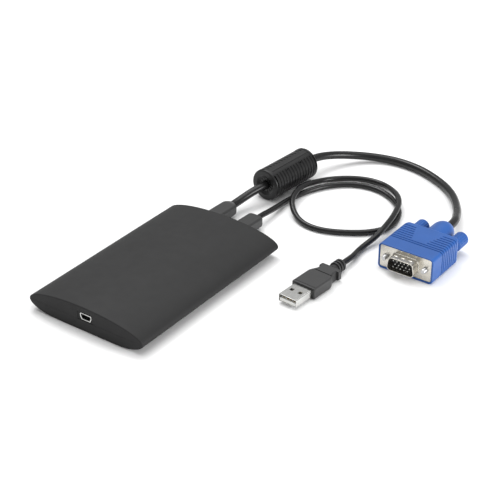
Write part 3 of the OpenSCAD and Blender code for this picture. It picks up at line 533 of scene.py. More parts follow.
case_low, case_high = box_mm("bottom_shell")
case_top = box_mm("top_shell")[1].z
seam_z = box_mm("top_shell")[0].z
rear_face = case_high.y
front_face = case_low.y
case_w = case_high.x - case_low.x
case_l = rear_face - front_face

video_gland_low, video_gland_high = box_mm("video_gland")
data_gland_low, data_gland_high = box_mm("data_gland")
video_gland_x = (video_gland_low.x + video_gland_high.x) / 2
data_gland_x = (data_gland_low.x + data_gland_high.x) / 2
gland_z = 5.7
video_exit_right = 0.5
video_exit_up = 0.7
video_exit_x = video_gland_x + video_exit_right
video_exit_z = gland_z + video_exit_up

ferrite_x = -4.8
ferrite_y = 131
ferrite_z = 9.9
ferrite_turn = 4.8
ferrite_l = 40
at_ferrite = placed(ferrite_x, ferrite_y, ferrite_z, ferrite_turn)

video_x = 107.1
video_y = 84.4
face_z = 8.2
hood_w = 34.6
hood_h = 15.8
hood_z = hood_h / 2
hood_l = 30.5
tail_l = 17.5
at_video_plug = placed(video_x, video_y, 0, 0)

data_x = 72
data_y = 20.7
data_turn = 4
grip_z = 3.85
boot_end = 49
at_data_plug = placed(data_x, data_y, 0, data_turn)


# Cords: the same routes as the CAD model's

video_cord_d = 5.2
data_cord_d = 3.5
cord_lead = 5
jacket_inset = 0.06
route_steps = 8
cord_resolution = 8


def on_ferrite(along):
    """Place on the ferrite's axis."""
    return at_ferrite @ Vector((0, along, 0))


def on_video_plug(along):
    """Place on the video plug's axis."""
    return at_video_plug @ Vector((0, along, hood_z))


def on_data_plug(along):
    """Place on the data plug's axis."""
    return at_data_plug @ Vector((0, along, grip_z))


video_route = [
    (video_exit_x, video_gland_high.y, video_exit_z),
    (video_exit_x, video_gland_high.y + cord_lead, video_exit_z),
    (-10.2, 96, 7.6), (-8.4, 103.5, 9.1),
    on_ferrite(-ferrite_l / 2),
    on_ferrite(-ferrite_l / 4),
    on_ferrite(0),
    on_ferrite(ferrite_l / 4),
    on_ferrite(ferrite_l / 2),
    (-2, 159.5, 9.7), (0.5, 167.5, 8.7), (4.5, 175.5, 7.2), (10, 183, 5.6), (17, 190, 4.1),
    (25.5, 195, 3.1), (35, 197.5, 2.8), (45.5, 197.5, 2.7), (56, 195.5, 2.7), (66, 191.5, 2.7),
    (75.5, 186.5, 2.7), (84, 180, 2.8), (91, 172, 3.4), (97, 163, 4.4), (101, 156, 5.4),
    (104, 149, 6.5), (106.2, 143.2, 7.5),
    on_video_plug(hood_l + tail_l + cord_lead / 2),
    on_video_plug(hood_l + tail_l),
]
data_route = [
    (data_gland_x, data_gland_high.y, gland_z),
    (data_gland_x, data_gland_high.y + cord_lead, gland_z),
    (9, 95, 4.6), (8, 108, 3), (8, 120, 2), (10.5, 132, 1.8), (15.5, 143, 1.8), (23.5, 152.5, 1.8),
    (34.5, 158.5, 1.8), (46.5, 159, 1.8), (58, 154, 1.8), (67.5, 145.5, 1.8), (73, 134.5, 1.8),
    (73.5, 122.5, 1.8), (67.5, 112, 1.8), (58, 104.5, 1.8), (47.5, 99, 1.8), (37, 97, 1.9),
    (27, 99.5, 2.2), (18.5, 105.5, 3.5), (12.5, 113, 5.1), (9.5, 122, 5.9), (8.5, 131.5, 5.7),
    (9.5, 141, 3.9), (12.5, 151.5, 2.3), (20.5, 160.5, 1.9), (32, 166.5, 1.9), (44, 166.5, 2.2),
    (54.5, 160.5, 3.7), (62, 153.5, 5.3), (67.5, 145.5, 5.9), (71, 136, 5.9), (73.5, 126, 5.8),
    (75, 116, 5.6), (75.5, 106.5, 4.3), (74, 97, 2.7), (74, 88.5, 2.3), (75.2, 82.5, 3),
    on_data_plug(boot_end + cord_lead),
    on_data_plug(boot_end),
]


def spline_point(a, b, c, d, t):
    """Point of a cubic B-spline between its second and third control points."""
    start = (1 - t) ** 3 * a + (3 * t**3 - 6 * t**2 + 4) * b
    end = (1 + 3 * t + 3 * t**2 - 3 * t**3) * c + t**3 * d
    return (start + end) / 6


def route_points(route):
    """Points of the CAD model's curve along a route, a B-spline whose inner points are pulled out."""
    points = [Vector(point) for point in route]
    pulled = points[:2]
    for i in range(2, len(points) - 2):
        pulled.append((8 * points[i] - points[i - 1] - points[i + 1]) / 6)
    pulled += points[-2:]
    pulled = [2 * points[0] - points[1]] + pulled + [2 * points[-1] - points[-2]]
    curve = [
        spline_point(*pulled[i : i + 4], step / route_steps)
        for i in range(len(points) - 1)
        for step in range(route_steps)
    ]
    return curve + [points[-1]]


def make_cord(name, route, diameter):
    """Round cord along a route."""
    points = route_points(route)
    data = bpy.data.curves.new(name, "CURVE")
    data.dimensions = "3D"
    data.bevel_depth = (diameter / 2 - jacket_inset) * MM
    data.bevel_resolution = cord_resolution
    data.use_fill_caps = True
    spline = data.splines.new("POLY")
    spline.points.add(len(points) - 1)
    for target, point in zip(spline.points, points):
        target.co = (*(point * MM), 1)
    spline.use_smooth = True
    cord = add_object(name, data)
    data.materials.append(jacket)
    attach(cord, "case")
    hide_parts(name.replace("_jacket", ""))


# Case: two shells with round end edges, a fine seam, and holes for the port and the glands

rest_w = 40
case_wall = 1.8
end_wall = 2
case_edge = 0.7
inner_edge = 0.4
seam_groove = 0.08
seam_half = 0.045
section_steps = 120

boss_r = 2.8
boss_in_x = 8.4
boss_in_y = 9
boss_x = case_w / 2 - boss_in_x
boss_y = case_l / 2 - boss_in_y
screw_r = 1
screw_head_r = 1.9
screw_seat_z = 2.6
screw_l = 6.6
screw_end_z = screw_seat_z + screw_l + 2 * fit
board_low, board_high = box_mm("circuit_board")
post_r = 2.4
post_in = 3.6
post_end_in = 8
post_bore_r = 0.95
post_x = board_high.x - post_in
post_ys = (board_low.y + post_end_in, board_high.y - post_end_in)
boss_places = [(side * boss_x, end * boss_y) for side in (-1, 1) for end in (-1, 1)]
post_places = [(x, y) for x in (-post_x, post_x) for y in post_ys]

port_low, port_high = box_mm("port_sleeve")
port_x = (port_low.x + port_high.x) / 2
port_z = (port_low.z + port_high.z) / 2
port_w = port_high.x - port_low.x
port_h = port_high.z - port_low.z
port_step_share = 0.45
port_narrow_share = 0.79
port_corner_r = 0.6
port_gap = 0.15
port_wall = 0.5
port_lip = 0.1
port_pocket = 0.28
port_pocket_side = 1.5
port_pocket_r = 0.7

gland_w = 10
gland_h = 7.6
gland_neck = 0.9
gland_edge_r = 1.4
gland_front_r = 0.3
gland_end_r = 2.4
gland_drop = 0.8
gland_rise = 0.3
gland_flange_t = 2
mouth_wall = 0.3
neck_w = gland_w - 2 * gland_neck
neck_h = gland_h - 2 * gland_neck


def case_section(inset):
    """Outline of the case across its length: an arch, and a flatter one below the seam."""
    side = case_w / 2 - inset
    crown = case_top - seam_z - inset
    belly = seam_z - inset
    flat = rest_w / 2
    quarter = section_steps // 4
    outline = []
    for i in range(section_steps + 1):
        turn = math.pi * i / section_steps
        outline.append((side * math.cos(turn), seam_z + crown * math.sin(turn)))
    for i in range(1, quarter + 1):
        turn = math.pi / 2 * (2 + i / quarter)
        outline.append((-flat + (side - flat) * math.cos(turn), seam_z + belly * math.sin(turn)))
    for i in range(quarter):
        turn = math.pi / 2 * (3 + i / quarter)
        outline.append((flat + (side - flat) * math.cos(turn), seam_z + belly * math.sin(turn)))
    return outline


def case_solid(inset, end_inset, edge):
    """Solid with the case's section, its end edges rounded."""
    start = front_face + end_inset
    finish = rear_face - end_inset
    return loft(soft_rings(lambda more: case_section(inset + more), start, finish, edge, edge))


def half_space(height, side):
    """Large block above a height where side is 1, and below it where side is -1."""
    reach = 2 * case_l
    low, high = sorted([height, height + side * reach])
    return block((-reach, -reach, low), (reach, reach, high))


def port_outline(inset):
    """Outline of the port, its lower corners drawn in."""
    top = port_h / 2 - inset
    step = inset - port_h / 2 + port_step_share * port_h
    wide = port_w / 2 - inset
    narrow = port_narrow_share * port_w / 2 - inset
    half = [(wide, step), (wide, top)]
    points = half + [(-x, z) for x, z in reversed(half)] + [(-narrow, -top), (narrow, -top)]
    return [(port_x + x, port_z + z) for x, z in rounded(points, port_corner_r)]


def case_shell(name, side, posts):
    """Hollow half of the case: side is 1 for the upper half and -1 for the lower half."""
    shell = make_object(name, [case_solid(0, 0, case_edge)])
    carve(shell, [case_solid(case_wall, end_wall, inner_edge)])
    carve(shell, [half_space(seam_z, -side)])
    pillars = make_object(f"{name}_posts", posts)
    carve(pillars, [case_solid(case_wall / 2, end_wall / 2, inner_edge)], "INTERSECT")
    carve(shell, [pillars], "UNION")
    low, high = sorted([seam_z, seam_z + side * seam_half])
    for start, finish in both_sides(case_w / 2 - seam_groove, case_w):
        carve(shell, [block((start, -case_l, low), (finish, case_l, high))])
    for start, finish in both_sides(case_l / 2 - seam_groove, case_l):
        carve(shell, [block((-case_w, start, low), (case_w, finish, high))])
    notch = (neck_w + 2 * fit, 2 * (end_wall + over), neck_h + 2 * fit)
    carve(shell, [block_at((x, rear_face, gland_z), notch) for x in (video_gland_x, data_gland_x)])
    return shell


lower_posts = uprights(boss_places, 0, seam_z, boss_r)
lower_posts += uprights(post_places, 0, board_low.z, post_r)
lower_shell = case_shell("case_lower", -1, lower_posts)
carve(lower_shell, uprights(boss_places, -over, screw_seat_z, screw_head_r + fit))
carve(lower_shell, uprights(boss_places, 0, case_top, screw_r + fit))
carve(lower_shell, uprights(post_places, case_wall, case_top, post_bore_r))
finish_piece(lower_shell, case_plastic, "case", "bottom_shell")

upper_shell = case_shell("case_upper", 1, uprights(boss_places, seam_z, case_top, boss_r))
carve(upper_shell, uprights(boss_places, 0, screw_end_z, screw_r + fit / 2))
pocket_outline = round_rect(
    port_w + 2 * port_pocket_side,
    port_h + port_pocket_side,
    port_pocket_r,
    port_x,
    port_z,
)
pocket_mouth = shrunk(pocket_outline, -port_pocket)
pocket_rings = [at_depth(pocket_mouth, front_face - reach) for reach in (over, tiny)]
pocket_rings.append(at_depth(pocket_outline, front_face + port_pocket))
carve(upper_shell, [loft(pocket_rings)])
port_hole = prism(port_outline(-port_gap), front_face - over, front_face + end_wall + over)
carve(upper_shell, [port_hole])
finish_piece(upper_shell, case_plastic, "case", "top_shell")


# Thin sleeves: a tube along y whose front edge is soft


def thin_sleeve(name, outline_at, start, finish, wall, lip, rear_lip):
    """Tube with soft edges and a bore that widens at its front, its outline from outline_at."""
    sleeve = make_object(name, [rounded_prism(outline_at(0), start, finish, lip, rear_lip)])
    bore = [at_depth(outline_at(wall - lip), y) for y in (start - over, start)]
    bore += [at_depth(outline_at(wall), y) for y in (start + lip, finish + over)]
    carve(sleeve, [loft(bore)])
    return sleeve


port_rim = thin_sleeve(
    "port_rim", port_outline, port_low.y, port_high.y, port_wall, port_lip, port_lip / 2
)
finish_piece(port_rim, tin, "case", "port_sleeve")


# Glands: flange, neck in the wall and a soft tapering boot

gland_end_steps = 10


def gland_section(x, along, length, inset):
    """Outline of a gland at one place, its top and bottom sloping a little."""
    top = gland_z + gland_h / 2 - gland_drop * along / length - inset
    low = gland_z - gland_h / 2 + gland_rise * along / length + inset
    return between(x, gland_w - 2 * inset, low, top, gland_edge_r)


def mixed(first, second, share):
    """Outline part of the way from one outline to another with the same points."""
    return [(a + (c - a) * share, b + (d - b) * share) for (a, b), (c, d) in zip(first, second)]


def make_gland(name, x, cord_x, cord_z, cord_d):
    """Strain relief whose top and bottom slope a little towards its round end."""
    length = box_mm(name)[1].y - rear_face
    mouth_r = cord_d / 2 + mouth_wall
    rings = []
    flange_half = (gland_h - gland_neck) / 2
    inner_face = rear_face - end_wall
    flange = between(x, gland_w, gland_z - flange_half, gland_z + flange_half, gland_edge_r)
    rings += [at_depth(flange, y) for y in (inner_face - gland_flange_t, inner_face)]
    neck = between(x, neck_w, gland_z - neck_h / 2, gland_z + neck_h / 2, gland_edge_r)
    rings += [at_depth(neck, y) for y in (inner_face, rear_face)]
    straight = length - gland_end_r
    for along, inset in ((0, gland_front_r), (gland_front_r, 0), (straight, 0)):
        rings.append(at_depth(gland_section(x, along, length, inset), rear_face + along))
    mouth = round_rect(2 * mouth_r, 2 * mouth_r, mouth_r - tiny, cord_x, cord_z)
    for back, share in quarter_shares(gland_end_steps)[1:]:
        along = length - gland_end_r * back
        section = mixed(gland_section(x, along, length, 0), mouth, share)
        rings.append(at_depth(section, rear_face + along))
    boot = make_object(name.replace("_gland", "_boot"), [loft(rings)])
    finish_piece(boot, gland_plastic, "case", name)


make_gland("video_gland", video_gland_x, video_exit_x, video_exit_z, video_cord_d)
make_gland("data_gland", data_gland_x, data_gland_x, gland_z, data_cord_d)


# Ferrite: a ribbed barrel in two hinged halves

ferrite_r = ferrite_z
ferrite_half = ferrite_l / 2
collar_l = 2.6
collar_step = 0.15
barrel_r = ferrite_r - collar_step
barrel_step = 4
rib_pitch = 2.6
rib_groove_w = 1.1
rib_depth = 0.45
rib_soft = 0.12
rib_count = math.floor((ferrite_l - 2 * collar_l - rib_groove_w) / rib_pitch) + 1
rib_middle = (rib_count - 1) / 2
ferrite_edge = 1.2
ferrite_edge_steps = 5
ferrite_end_t = 2.4
core_room_r = 8
core_room_segments = 64
cable_hole_r = 2.8
dish_r = 4.5
dish_rim_r = 6.4
dish_depth = 1.3
finger_count = 12
finger_slot_w = 0.5
strip_from = -3
strip_to = 35
strip_lip = 0.4
crease_angle = 20
crease_half = 2
crease_depth = 0.3
slit_w = 1.1
slit_depth = 0.9
slit_in = 1.7
slit_steps = 12
slit_ranges = [(38, 86), (-42, -8)]
window_angle = 40
window_w = 1.7
window_h = 1.1
latch_y = 6.2
latch_w = 4
latch_t = 0.6
latch_drop = 2.2
latch_gap = 0.2
latch_in = 0.85
latch_x = ferrite_r - latch_in
hinge_out = 1.4
hinge_r = 1.25
hinge_pin_r = 0.6
hinge_x = -ferrite_r - hinge_out
hinge_reach = 2.65
hinge_half_l = 4
hinge_knuckle_l = 4
hinge_end_gap = 0.1
hinge_slot_w = 1
split_gap = 0.04


def barrel_radius(angle, along):
    """Radius of the barrel at an angle from straight up, in degrees, and a place along it."""
    from_end = ferrite_half - abs(along)
    if from_end < collar_l:
        return ferrite_r - round_inset(ferrite_edge, ferrite_edge - from_end)
    if strip_from <= angle <= strip_to:
        crease = crease_depth * max(0, 1 - abs(angle - crease_angle) / crease_half)
        return barrel_r - crease
    index = min(rib_count - 1, max(0, round(along / rib_pitch + rib_middle)))
    off = abs(along - (index - rib_middle) * rib_pitch)
    return barrel_r - rib_depth * groove_share(off, rib_groove_w, rib_soft)


def ferrite_barrel():
    """Outer surface of the closed ferrite as a solid in its own frame."""
    groove_middles = [(i - rib_middle) * rib_pitch for i in range(rib_count)]
    edges = [rib_groove_w / 2 + soft * rib_soft for soft in (-1, 0, 1)]
    ends = [ferrite_half - collar_l + lip for lip in (-tiny, tiny)]
    ends += [ferrite_half - ferrite_edge * on for _, on in quarter_shares(ferrite_edge_steps)]
    angles = {barrel_step * i - 180 for i in range(360 // barrel_step)}
    angles.update(beside([strip_from, strip_to], [strip_lip]))
    angles.update(beside([crease_angle], [0, crease_half]))
    rings = []
    for along in distinct(beside(groove_middles, edges) + beside([0], ends)):
        ring = []
        for angle in sorted(angles):
            radius = barrel_radius(angle, along)
            turn = math.radians(angle)
            ring.append((radius * math.sin(turn), along, radius * math.cos(turn)))
        rings.append(ring)
    return loft(rings)


def wedge_ring(start, finish, along, width, inner, outer):
    """Part of a ring about the y axis between two angles, counted from straight up."""
    span = finish - start
    turns = [math.radians(start + span * i / slit_steps) for i in range(slit_steps + 1)]
    outline = [(inner * math.sin(a), inner * math.cos(a)) for a in turns]
    outline += [(outer * math.sin(a), outer * math.cos(a)) for a in reversed(turns)]
    return prism(outline, along - width / 2, along + width / 2)


def ferrite_half_case(name, side):
    """Half of the ferrite's case: side is 1 for the lid and -1 for the half on the table."""
    half = make_object(name, [ferrite_barrel()])
    room_end = ferrite_half - ferrite_end_t
    carve(half, [rod(0, 0, -room_end, room_end, core_room_r, core_room_segments)])
    carve(half, [rod(0, 0, -ferrite_l, ferrite_l, cable_hole_r, turned_segments)])
    for end in (-1, 1):
        dish = [
            (dish_r, end * (ferrite_half - dish_depth)),
            (dish_rim_r, end * ferrite_half),
            (dish_rim_r, end * ferrite_l),
        ]
        carve(half, [turned(dish)])
        slot_ends = sorted([end * ferrite_half, end * (room_end - fit)])
        slot = block(
            (cable_hole_r - tiny, slot_ends[0], -finger_slot_w / 2),
            (dish_r, slot_ends[1], finger_slot_w / 2),
        )
        turns = [math.radians(360 * (i + 0.5) / finger_count) for i in range(finger_count)]
        carve(half, [moved(slot, Matrix.Rotation(turn, 4, "Y")) for turn in turns])
        slit_y = end * (ferrite_half - slit_in)
        marks = [
            wedge_ring(start, finish, slit_y, slit_w, ferrite_r - slit_depth, 2 * ferrite_r)
            for start, finish in slit_ranges
        ]
        window = block_at((ferrite_r, end * latch_y, 0), (2 * slit_depth, window_w, window_h))
        marks.append(moved(window, Matrix.Rotation(math.radians(window_angle - 90), 4, "Y")))
        carve(half, marks)
    carve(half, [half_space(side * split_gap, -side)])
    return half


def at_latches(start_x, finish_x, half_w, low, high):
    """Box at each latch, half_w to either side of its middle."""
    return [
        block((start_x, y - half_w, low), (finish_x, y + half_w, high)) for y in (-latch_y, latch_y)
    ]


lower_half = ferrite_half_case("ferrite_base", -1)
knuckles = []
for start, finish in both_sides(hinge_half_l, hinge_half_l + hinge_knuckle_l):
    knuckles.append(rod(hinge_x, 0, start, finish, hinge_r))
    foot = block((hinge_x, start, -hinge_r), (hinge_x + hinge_reach, finish, -split_gap))
    carve(lower_half, [foot], "UNION")
carve(lower_half, knuckles, "UNION")
pin_half = hinge_half_l + over
carve(lower_half, [rod(hinge_x, 0, -pin_half, pin_half, hinge_pin_r)], "UNION")
latch_rooms = at_latches(
    latch_x - latch_t - latch_gap,
    latch_x + latch_gap,
    latch_w / 2 + latch_gap,
    -latch_drop - latch_gap,
    over,
)
carve(lower_half, latch_rooms)
carve(lower_half, at_latches(latch_x, ferrite_r + over, latch_w / 4, -latch_drop, -latch_drop / 2))
finish_at(lower_half, at_ferrite, ferrite_plastic, "case", "ferrite_lower_case")

upper_half = ferrite_half_case("ferrite_lid", 1)
hook_half = hinge_half_l - hinge_end_gap
hook = make_object("hook", [rod(hinge_x, 0, -hook_half, hook_half, hinge_r)])
arm = block((hinge_x, -hook_half, split_gap), (hinge_x + hinge_reach, hook_half, hinge_r))
carve(hook, [arm], "UNION")
carve(hook, [rod(hinge_x, 0, -ferrite_half, ferrite_half, hinge_pin_r + fit / 2)])
carve(hook, [block_at((hinge_x - hinge_r, 0, 0), (2 * hinge_r, ferrite_l, hinge_slot_w))])
carve(upper_half, [hook], "UNION")
tabs = at_latches(latch_x - latch_t, latch_x, latch_w / 2, -latch_drop, latch_gap)
carve(upper_half, tabs, "UNION")
finish_at(upper_half, at_ferrite, ferrite_plastic, "ferrite_lid", "ferrite_upper_case")


# Video plug: hood with a soft rear, grooves, and ribs left and right of a smooth panel

hood_corner_r = 2.2
hood_rear_r = 3
hood_rear_soft = 1.2
hood_front_soft = 0.35
groove_w = 0.6
groove_depth = 0.45
groove_soft = 0.1
groove_soft_shares = [-1, -0.5, 0, 0.5, 1]
front_groove_ys = [10.4, 12.3]
rib_start = 14.6
hood_rib_pitch = 2.3
hood_rib_count = math.floor((hood_l - hood_rear_r - rib_start) / hood_rib_pitch) + 1
hood_rib_ys = [rib_start + i * hood_rib_pitch for i in range(hood_rib_count)]
panel_front_w = 9
panel_rear_w = 17
panel_column_gap = 1
panel_shares = [1, 0.9, 0.6, 0.3, 0, -0.3, -0.6, -0.9, -1]
hood_edge_steps = 8
tail_r = 7
tail_flat = 10
tail_end_r = 3.1
tail_steps = 12
tail_segments = 72
plate_w = 32.4
plate_h = 13.7
plate_corner_r = 1.2
plate_set_back = 0.2
plate_t = 0.8
plate_edge = 0.15
plate_rear = plate_set_back + plate_t
mould_w = 18.6
mould_h = 11.8
mould_end = 26.6
screw_gap = 24.99
screw_bore_r = 1.68
screw_xs = (-screw_gap / 2, screw_gap / 2)
screw_bores = [rod(x, face_z, -over, hood_l + over, screw_bore_r) for x in screw_xs]


def panel_width(y):
    """Width of the hood's smooth panel, which widens towards the rear."""
    share = (y - hood_rib_ys[0]) / (hood_rib_ys[-1] - hood_rib_ys[0])
    return panel_front_w + (panel_rear_w - panel_front_w) * min(1, max(0, share))


def groove_at(y, grooves):
    """Depth of the nearest groove at a place along the plug."""
    off = min(abs(y - middle) for middle in grooves)
    return groove_depth * groove_share(off, groove_w, groove_soft)


def hood_ring(y):
    """Ring of the hood at one y, with the same columns along the panel's edges at every y."""
    front_inset = round_inset(hood_front_soft, hood_front_soft - y)
    side_inset = front_inset + round_inset(hood_rear_r, y - hood_l + hood_rear_r)
    top_inset = front_inset + round_inset(hood_rear_soft, y - hood_l + hood_rear_soft)
    narrow = 1 - side_inset / (hood_w / 2)
    flat = 1 - top_inset / (hood_h / 2)
    on_panel = groove_at(y, front_groove_ys)
    depth = max(on_panel, groove_at(y, hood_rib_ys))
    half_panel = panel_width(y) / 2
    half_w = hood_w / 2 - hood_corner_r
    half_h = hood_h / 2 - hood_corner_r
    outer_xs = [half_w - panel_column_gap]
    outer_xs += [half_panel + out for out in (2 * panel_column_gap, panel_column_gap, groove_soft)]
    inner_x = half_panel - groove_soft
    ring = []
    for turn, x_side, z_side in corners:
        ring += corner_arc(x_side * half_w, z_side * half_h, hood_corner_r - depth, turn)
        if x_side == z_side:
            rib_z = z_side * (hood_h / 2 - depth)
            panel_z = z_side * (hood_h / 2 - on_panel)
            ring += [(x_side * x, rib_z) for x in outer_xs]
            ring += [(x_side * inner_x * share, panel_z) for share in panel_shares]
            ring += [(-x_side * x, rib_z) for x in reversed(outer_xs)]
    return [(x * narrow, y, hood_z + z * flat) for x, z in ring]


def hood_ys():
    """Places of the hood's rings: dense where it bends, a few elsewhere."""
    edge_shares = [back for back, _ in quarter_shares(hood_edge_steps)]
    marks = [0, hood_l]
    marks += [hood_front_soft * share for share in edge_shares]
    for radius in (hood_rear_r, hood_rear_soft):
        marks += [hood_l - radius * share for share in edge_shares]
    edges = [groove_w / 2 + share * groove_soft for share in groove_soft_shares]
    marks += beside(front_groove_ys + hood_rib_ys, edges)
    marks += [middle + hood_rib_pitch / 2 for middle in hood_rib_ys]
    return distinct(mark for mark in marks if 0 <= mark <= hood_l)


hood = make_object("video_hood_shell", [loft([hood_ring(y) for y in hood_ys()])])
tail_profile = [(tail_r, hood_l - over), (tail_r, hood_l + tail_flat)]
tail_profile += [
    (tail_r - (tail_r - tail_end_r) * inset, hood_l + tail_l - (tail_l - tail_flat) * back)
    for back, inset in quarter_shares(tail_steps)[1:]
]
carve(hood, [turned(tail_profile, tail_segments, (0, hood_z))], "UNION")
plate_room = round_rect(plate_w + 2 * fit, plate_h + 2 * fit, plate_corner_r + fit, 0, face_z)
carve(hood, [prism(plate_room, -over, plate_rear)])
carve(hood, [block_at((0, mould_end / 2, face_z), (mould_w, mould_end, mould_h))])
carve(hood, screw_bores)
finish_at(hood, at_video_plug, hood_plastic, "case", "video_hood")

# Face plate and its shell, flared where it leaves the plate and with pressed dimples

shell_depth = 5.8
shell_wall = 0.4
shell_wide = 17.7
shell_narrow = 15.2
shell_h = 8.5
shell_corner_r = 2.3
shell_flare = 0.5
shell_lip = 0.15
shell_edge_steps = 5
shell_front = plate_set_back - shell_depth
dimple_r = 1.3
dimple_share = 0.5
dimple_depth = 0.3
dimple_gap = 4.6
dimple_steps = 10
dimple_segments = 20


def shell_outline(inset):
    """Outline of the plug's shell, its wide side below."""
    half = shell_h / 2 - inset
    wide = shell_wide / 2 - inset
    narrow = shell_narrow / 2 - inset
    points = [(narrow, half), (-narrow, half), (-wide, -half), (wide, -half)]
    return [(x, face_z + z) for x, z in rounded(points, shell_corner_r - inset)]


def dimple(x, y, z):
    """Squashed ball that presses a long dimple into a sheet."""
    around = full_turn(dimple_segments)
    rings = []
    for i in range(1, dimple_steps):
        turn = math.pi * i / dimple_steps
        radius = dimple_r * math.sin(turn)
        height = dimple_depth * math.sin(turn)
        along = y - dimple_r * dimple_share * math.cos(turn)
        rings.append([(x + radius * math.cos(a), along, z - height * math.sin(a)) for a in around])
    return loft(rings)


plate_outline = round_rect(plate_w, plate_h, plate_corner_r, 0, face_z)
plate = make_object(
    "video_shell",
    [rounded_prism(plate_outline, plate_set_back, plate_rear, plate_edge, plate_edge)],
)
shell_rings = [
    at_depth(shell_outline(shell_lip * inset), shell_front + shell_lip * along)
    for inset, along in quarter_shares(shell_edge_steps)
]
shell_rings += [
    at_depth(shell_outline(-shell_flare * out), plate_set_back - shell_flare * along)
    for along, out in quarter_shares(shell_edge_steps)
]
shell_rings.append(at_depth(shell_outline(-shell_flare), plate_set_back + plate_t / 2))
carve(plate, [loft(shell_rings)], "UNION")
dimple_y = plate_set_back - shell_depth / 2
carve(plate, [dimple(i * dimple_gap, dimple_y, face_z + shell_h / 2) for i in (-1, 0, 1)])
carve(plate, [prism(shell_outline(shell_wall), shell_front - over, plate_rear + over)])
carve(plate, screw_bores)
finish_at(plate, at_video_plug, nickel, "case", "video_face_plate")

# Insulator with a round well for each pin, and the pins with round tips

insulator_proud = 0.6
insulator_back = 6
insulator_gap = 0.05
insulator_front = plate_set_back - insulator_proud
pin_r = 0.4
pin_out = 4.6
pin_tail = 1.5
pin_pitch = 2.29
pin_row_gap = 1.98
pin_rows = 3
pins_per_row = 5
pin_tip_steps = 6
pin_segments = 20
well_r = 0.62
well_depth = 0.25

pin_places = []
for row in range(pin_rows):
    shift = pin_pitch / 4 if row == 1 else -pin_pitch / 4
    for column in range(pins_per_row):
        x = (column - (pins_per_row - 1) / 2) * pin_pitch + shift
        pin_places.append((x, face_z + (1 - row) * pin_row_gap))

core_outline = shell_outline(shell_wall + insulator_gap)
insulator = make_object(
    "video_core",
    [rounded_prism(core_outline, insulator_front, insulator_back, plate_edge, plate_edge)],
)
pin_hole_r = pin_r + tiny
well = [
    (well_r, insulator_front - over),
    (well_r, insulator_front),
    (pin_hole_r, insulator_front + well_depth),
]
carve(insulator, [turned(well, pin_segments, place) for place in pin_places])
pin_holes = [
    rod(x, z, insulator_front, insulator_back + over, pin_hole_r, pin_segments)
    for x, z in pin_places
]
carve(insulator, pin_holes)
finish_at(insulator, at_video_plug, black_plastic, "case", "video_insulator")

pin_profile = [
    (pin_r * (1 - back), plate_set_back - pin_out + pin_r * on)
    for back, on in quarter_shares(pin_tip_steps)[1:]
]
pin_profile.append((pin_r, insulator_back + pin_tail))
pins = make_object(
    "video_pin_set", [turned(pin_profile, pin_segments, place) for place in pin_places]
)
finish_at(pins, at_video_plug, pin_metal, "case", "video_pins")

# Thumbscrews, each with its knob

shank_r = 1.6
shank_out = 0.1
thread_r = 1.42
thread_out = 2.6
thread_pitch = 0.64
thread_depth = 0.16
thread_points = 4
screw_segments = 40
knob_gap = 0.5
knob_start = hood_l + knob_gap
knob_l = 12
knob_r = 4.2
knob_neck_r = 2.8
knob_neck_l = 2.4
knob_edge = 0.9
knob_edge_steps = 6
knob_groove_count = 18
knob_groove_depth = 0.32
knob_groove_points = 8
knob_land_share = 0.2


def thumbscrew(name, x, body):
    """Screw with a threaded tip, turned about its own axis."""
    steps = round(thread_out / thread_pitch * thread_points)
    profile = [(thread_r - thread_depth, -thread_out)]
    for i in range(1, steps):
        lift = abs(2 * (i % thread_points) / thread_points - 1)
        profile.append((thread_r - thread_depth * lift, thread_out * (i / steps - 1)))
    shank_end = hood_l + knob_neck_l + fit
    profile += [(thread_r, -shank_out), (shank_r, -shank_out), (shank_r, shank_end)]
    screw = make_object(f"{name}_rod", [turned(profile, screw_segments, (x, face_z))])
    finish_at(screw, at_video_plug, zinc, body, name)


def knob_ring(x, y, radius, groove):
    """Ring of a knob, with its finger grooves."""
    ring = []
    for turn in full_turn(knob_groove_count * knob_groove_points):
        wave = math.cos(knob_groove_count * turn)
        local = radius - groove * soft_step((wave - knob_land_share) / (1 - knob_land_share))
        ring.append((x + local * math.cos(turn), y, face_z - local * math.sin(turn)))
    return ring


def knob(name, x, body):
    """Knob with a neck, a rounded end and finger grooves."""
    finish = knob_start + knob_l
    shoulder = knob_start + knob_neck_l
    stations = [
        (knob_start, knob_neck_r, 0),
        (knob_start + knob_neck_l / 2, knob_neck_r, 0),
        (shoulder - knob_edge / 2, knob_r - knob_edge / 3, 0),
        (shoulder, knob_r, 0),
        (shoulder + knob_edge, knob_r, knob_groove_depth),
        (finish - 2 * knob_edge, knob_r, knob_groove_depth),
    ]
    for back, inset in quarter_shares(knob_edge_steps):
        stations.append((finish - knob_edge * back, knob_r - knob_edge * inset, 0))
    rings = [knob_ring(x, y, radius, groove) for y, radius, groove in stations]
    piece = make_object(f"{name}_grip", [loft(rings)])
    carve(piece, [rod(x, face_z, knob_start - over, hood_l + knob_neck_l + 2 * fit, shank_r)])
    finish_at(piece, at_video_plug, hood_plastic, body, name)


for kind, make_part in (("thumbscrew", thumbscrew), ("knob", knob)):
    for side, x in zip(("left", "right"), screw_xs):
        make_part(f"{side}_{kind}", x, f"{side}_screw")


# Data plug: grip with a waist, wings, a ringed boot and a metal sleeve

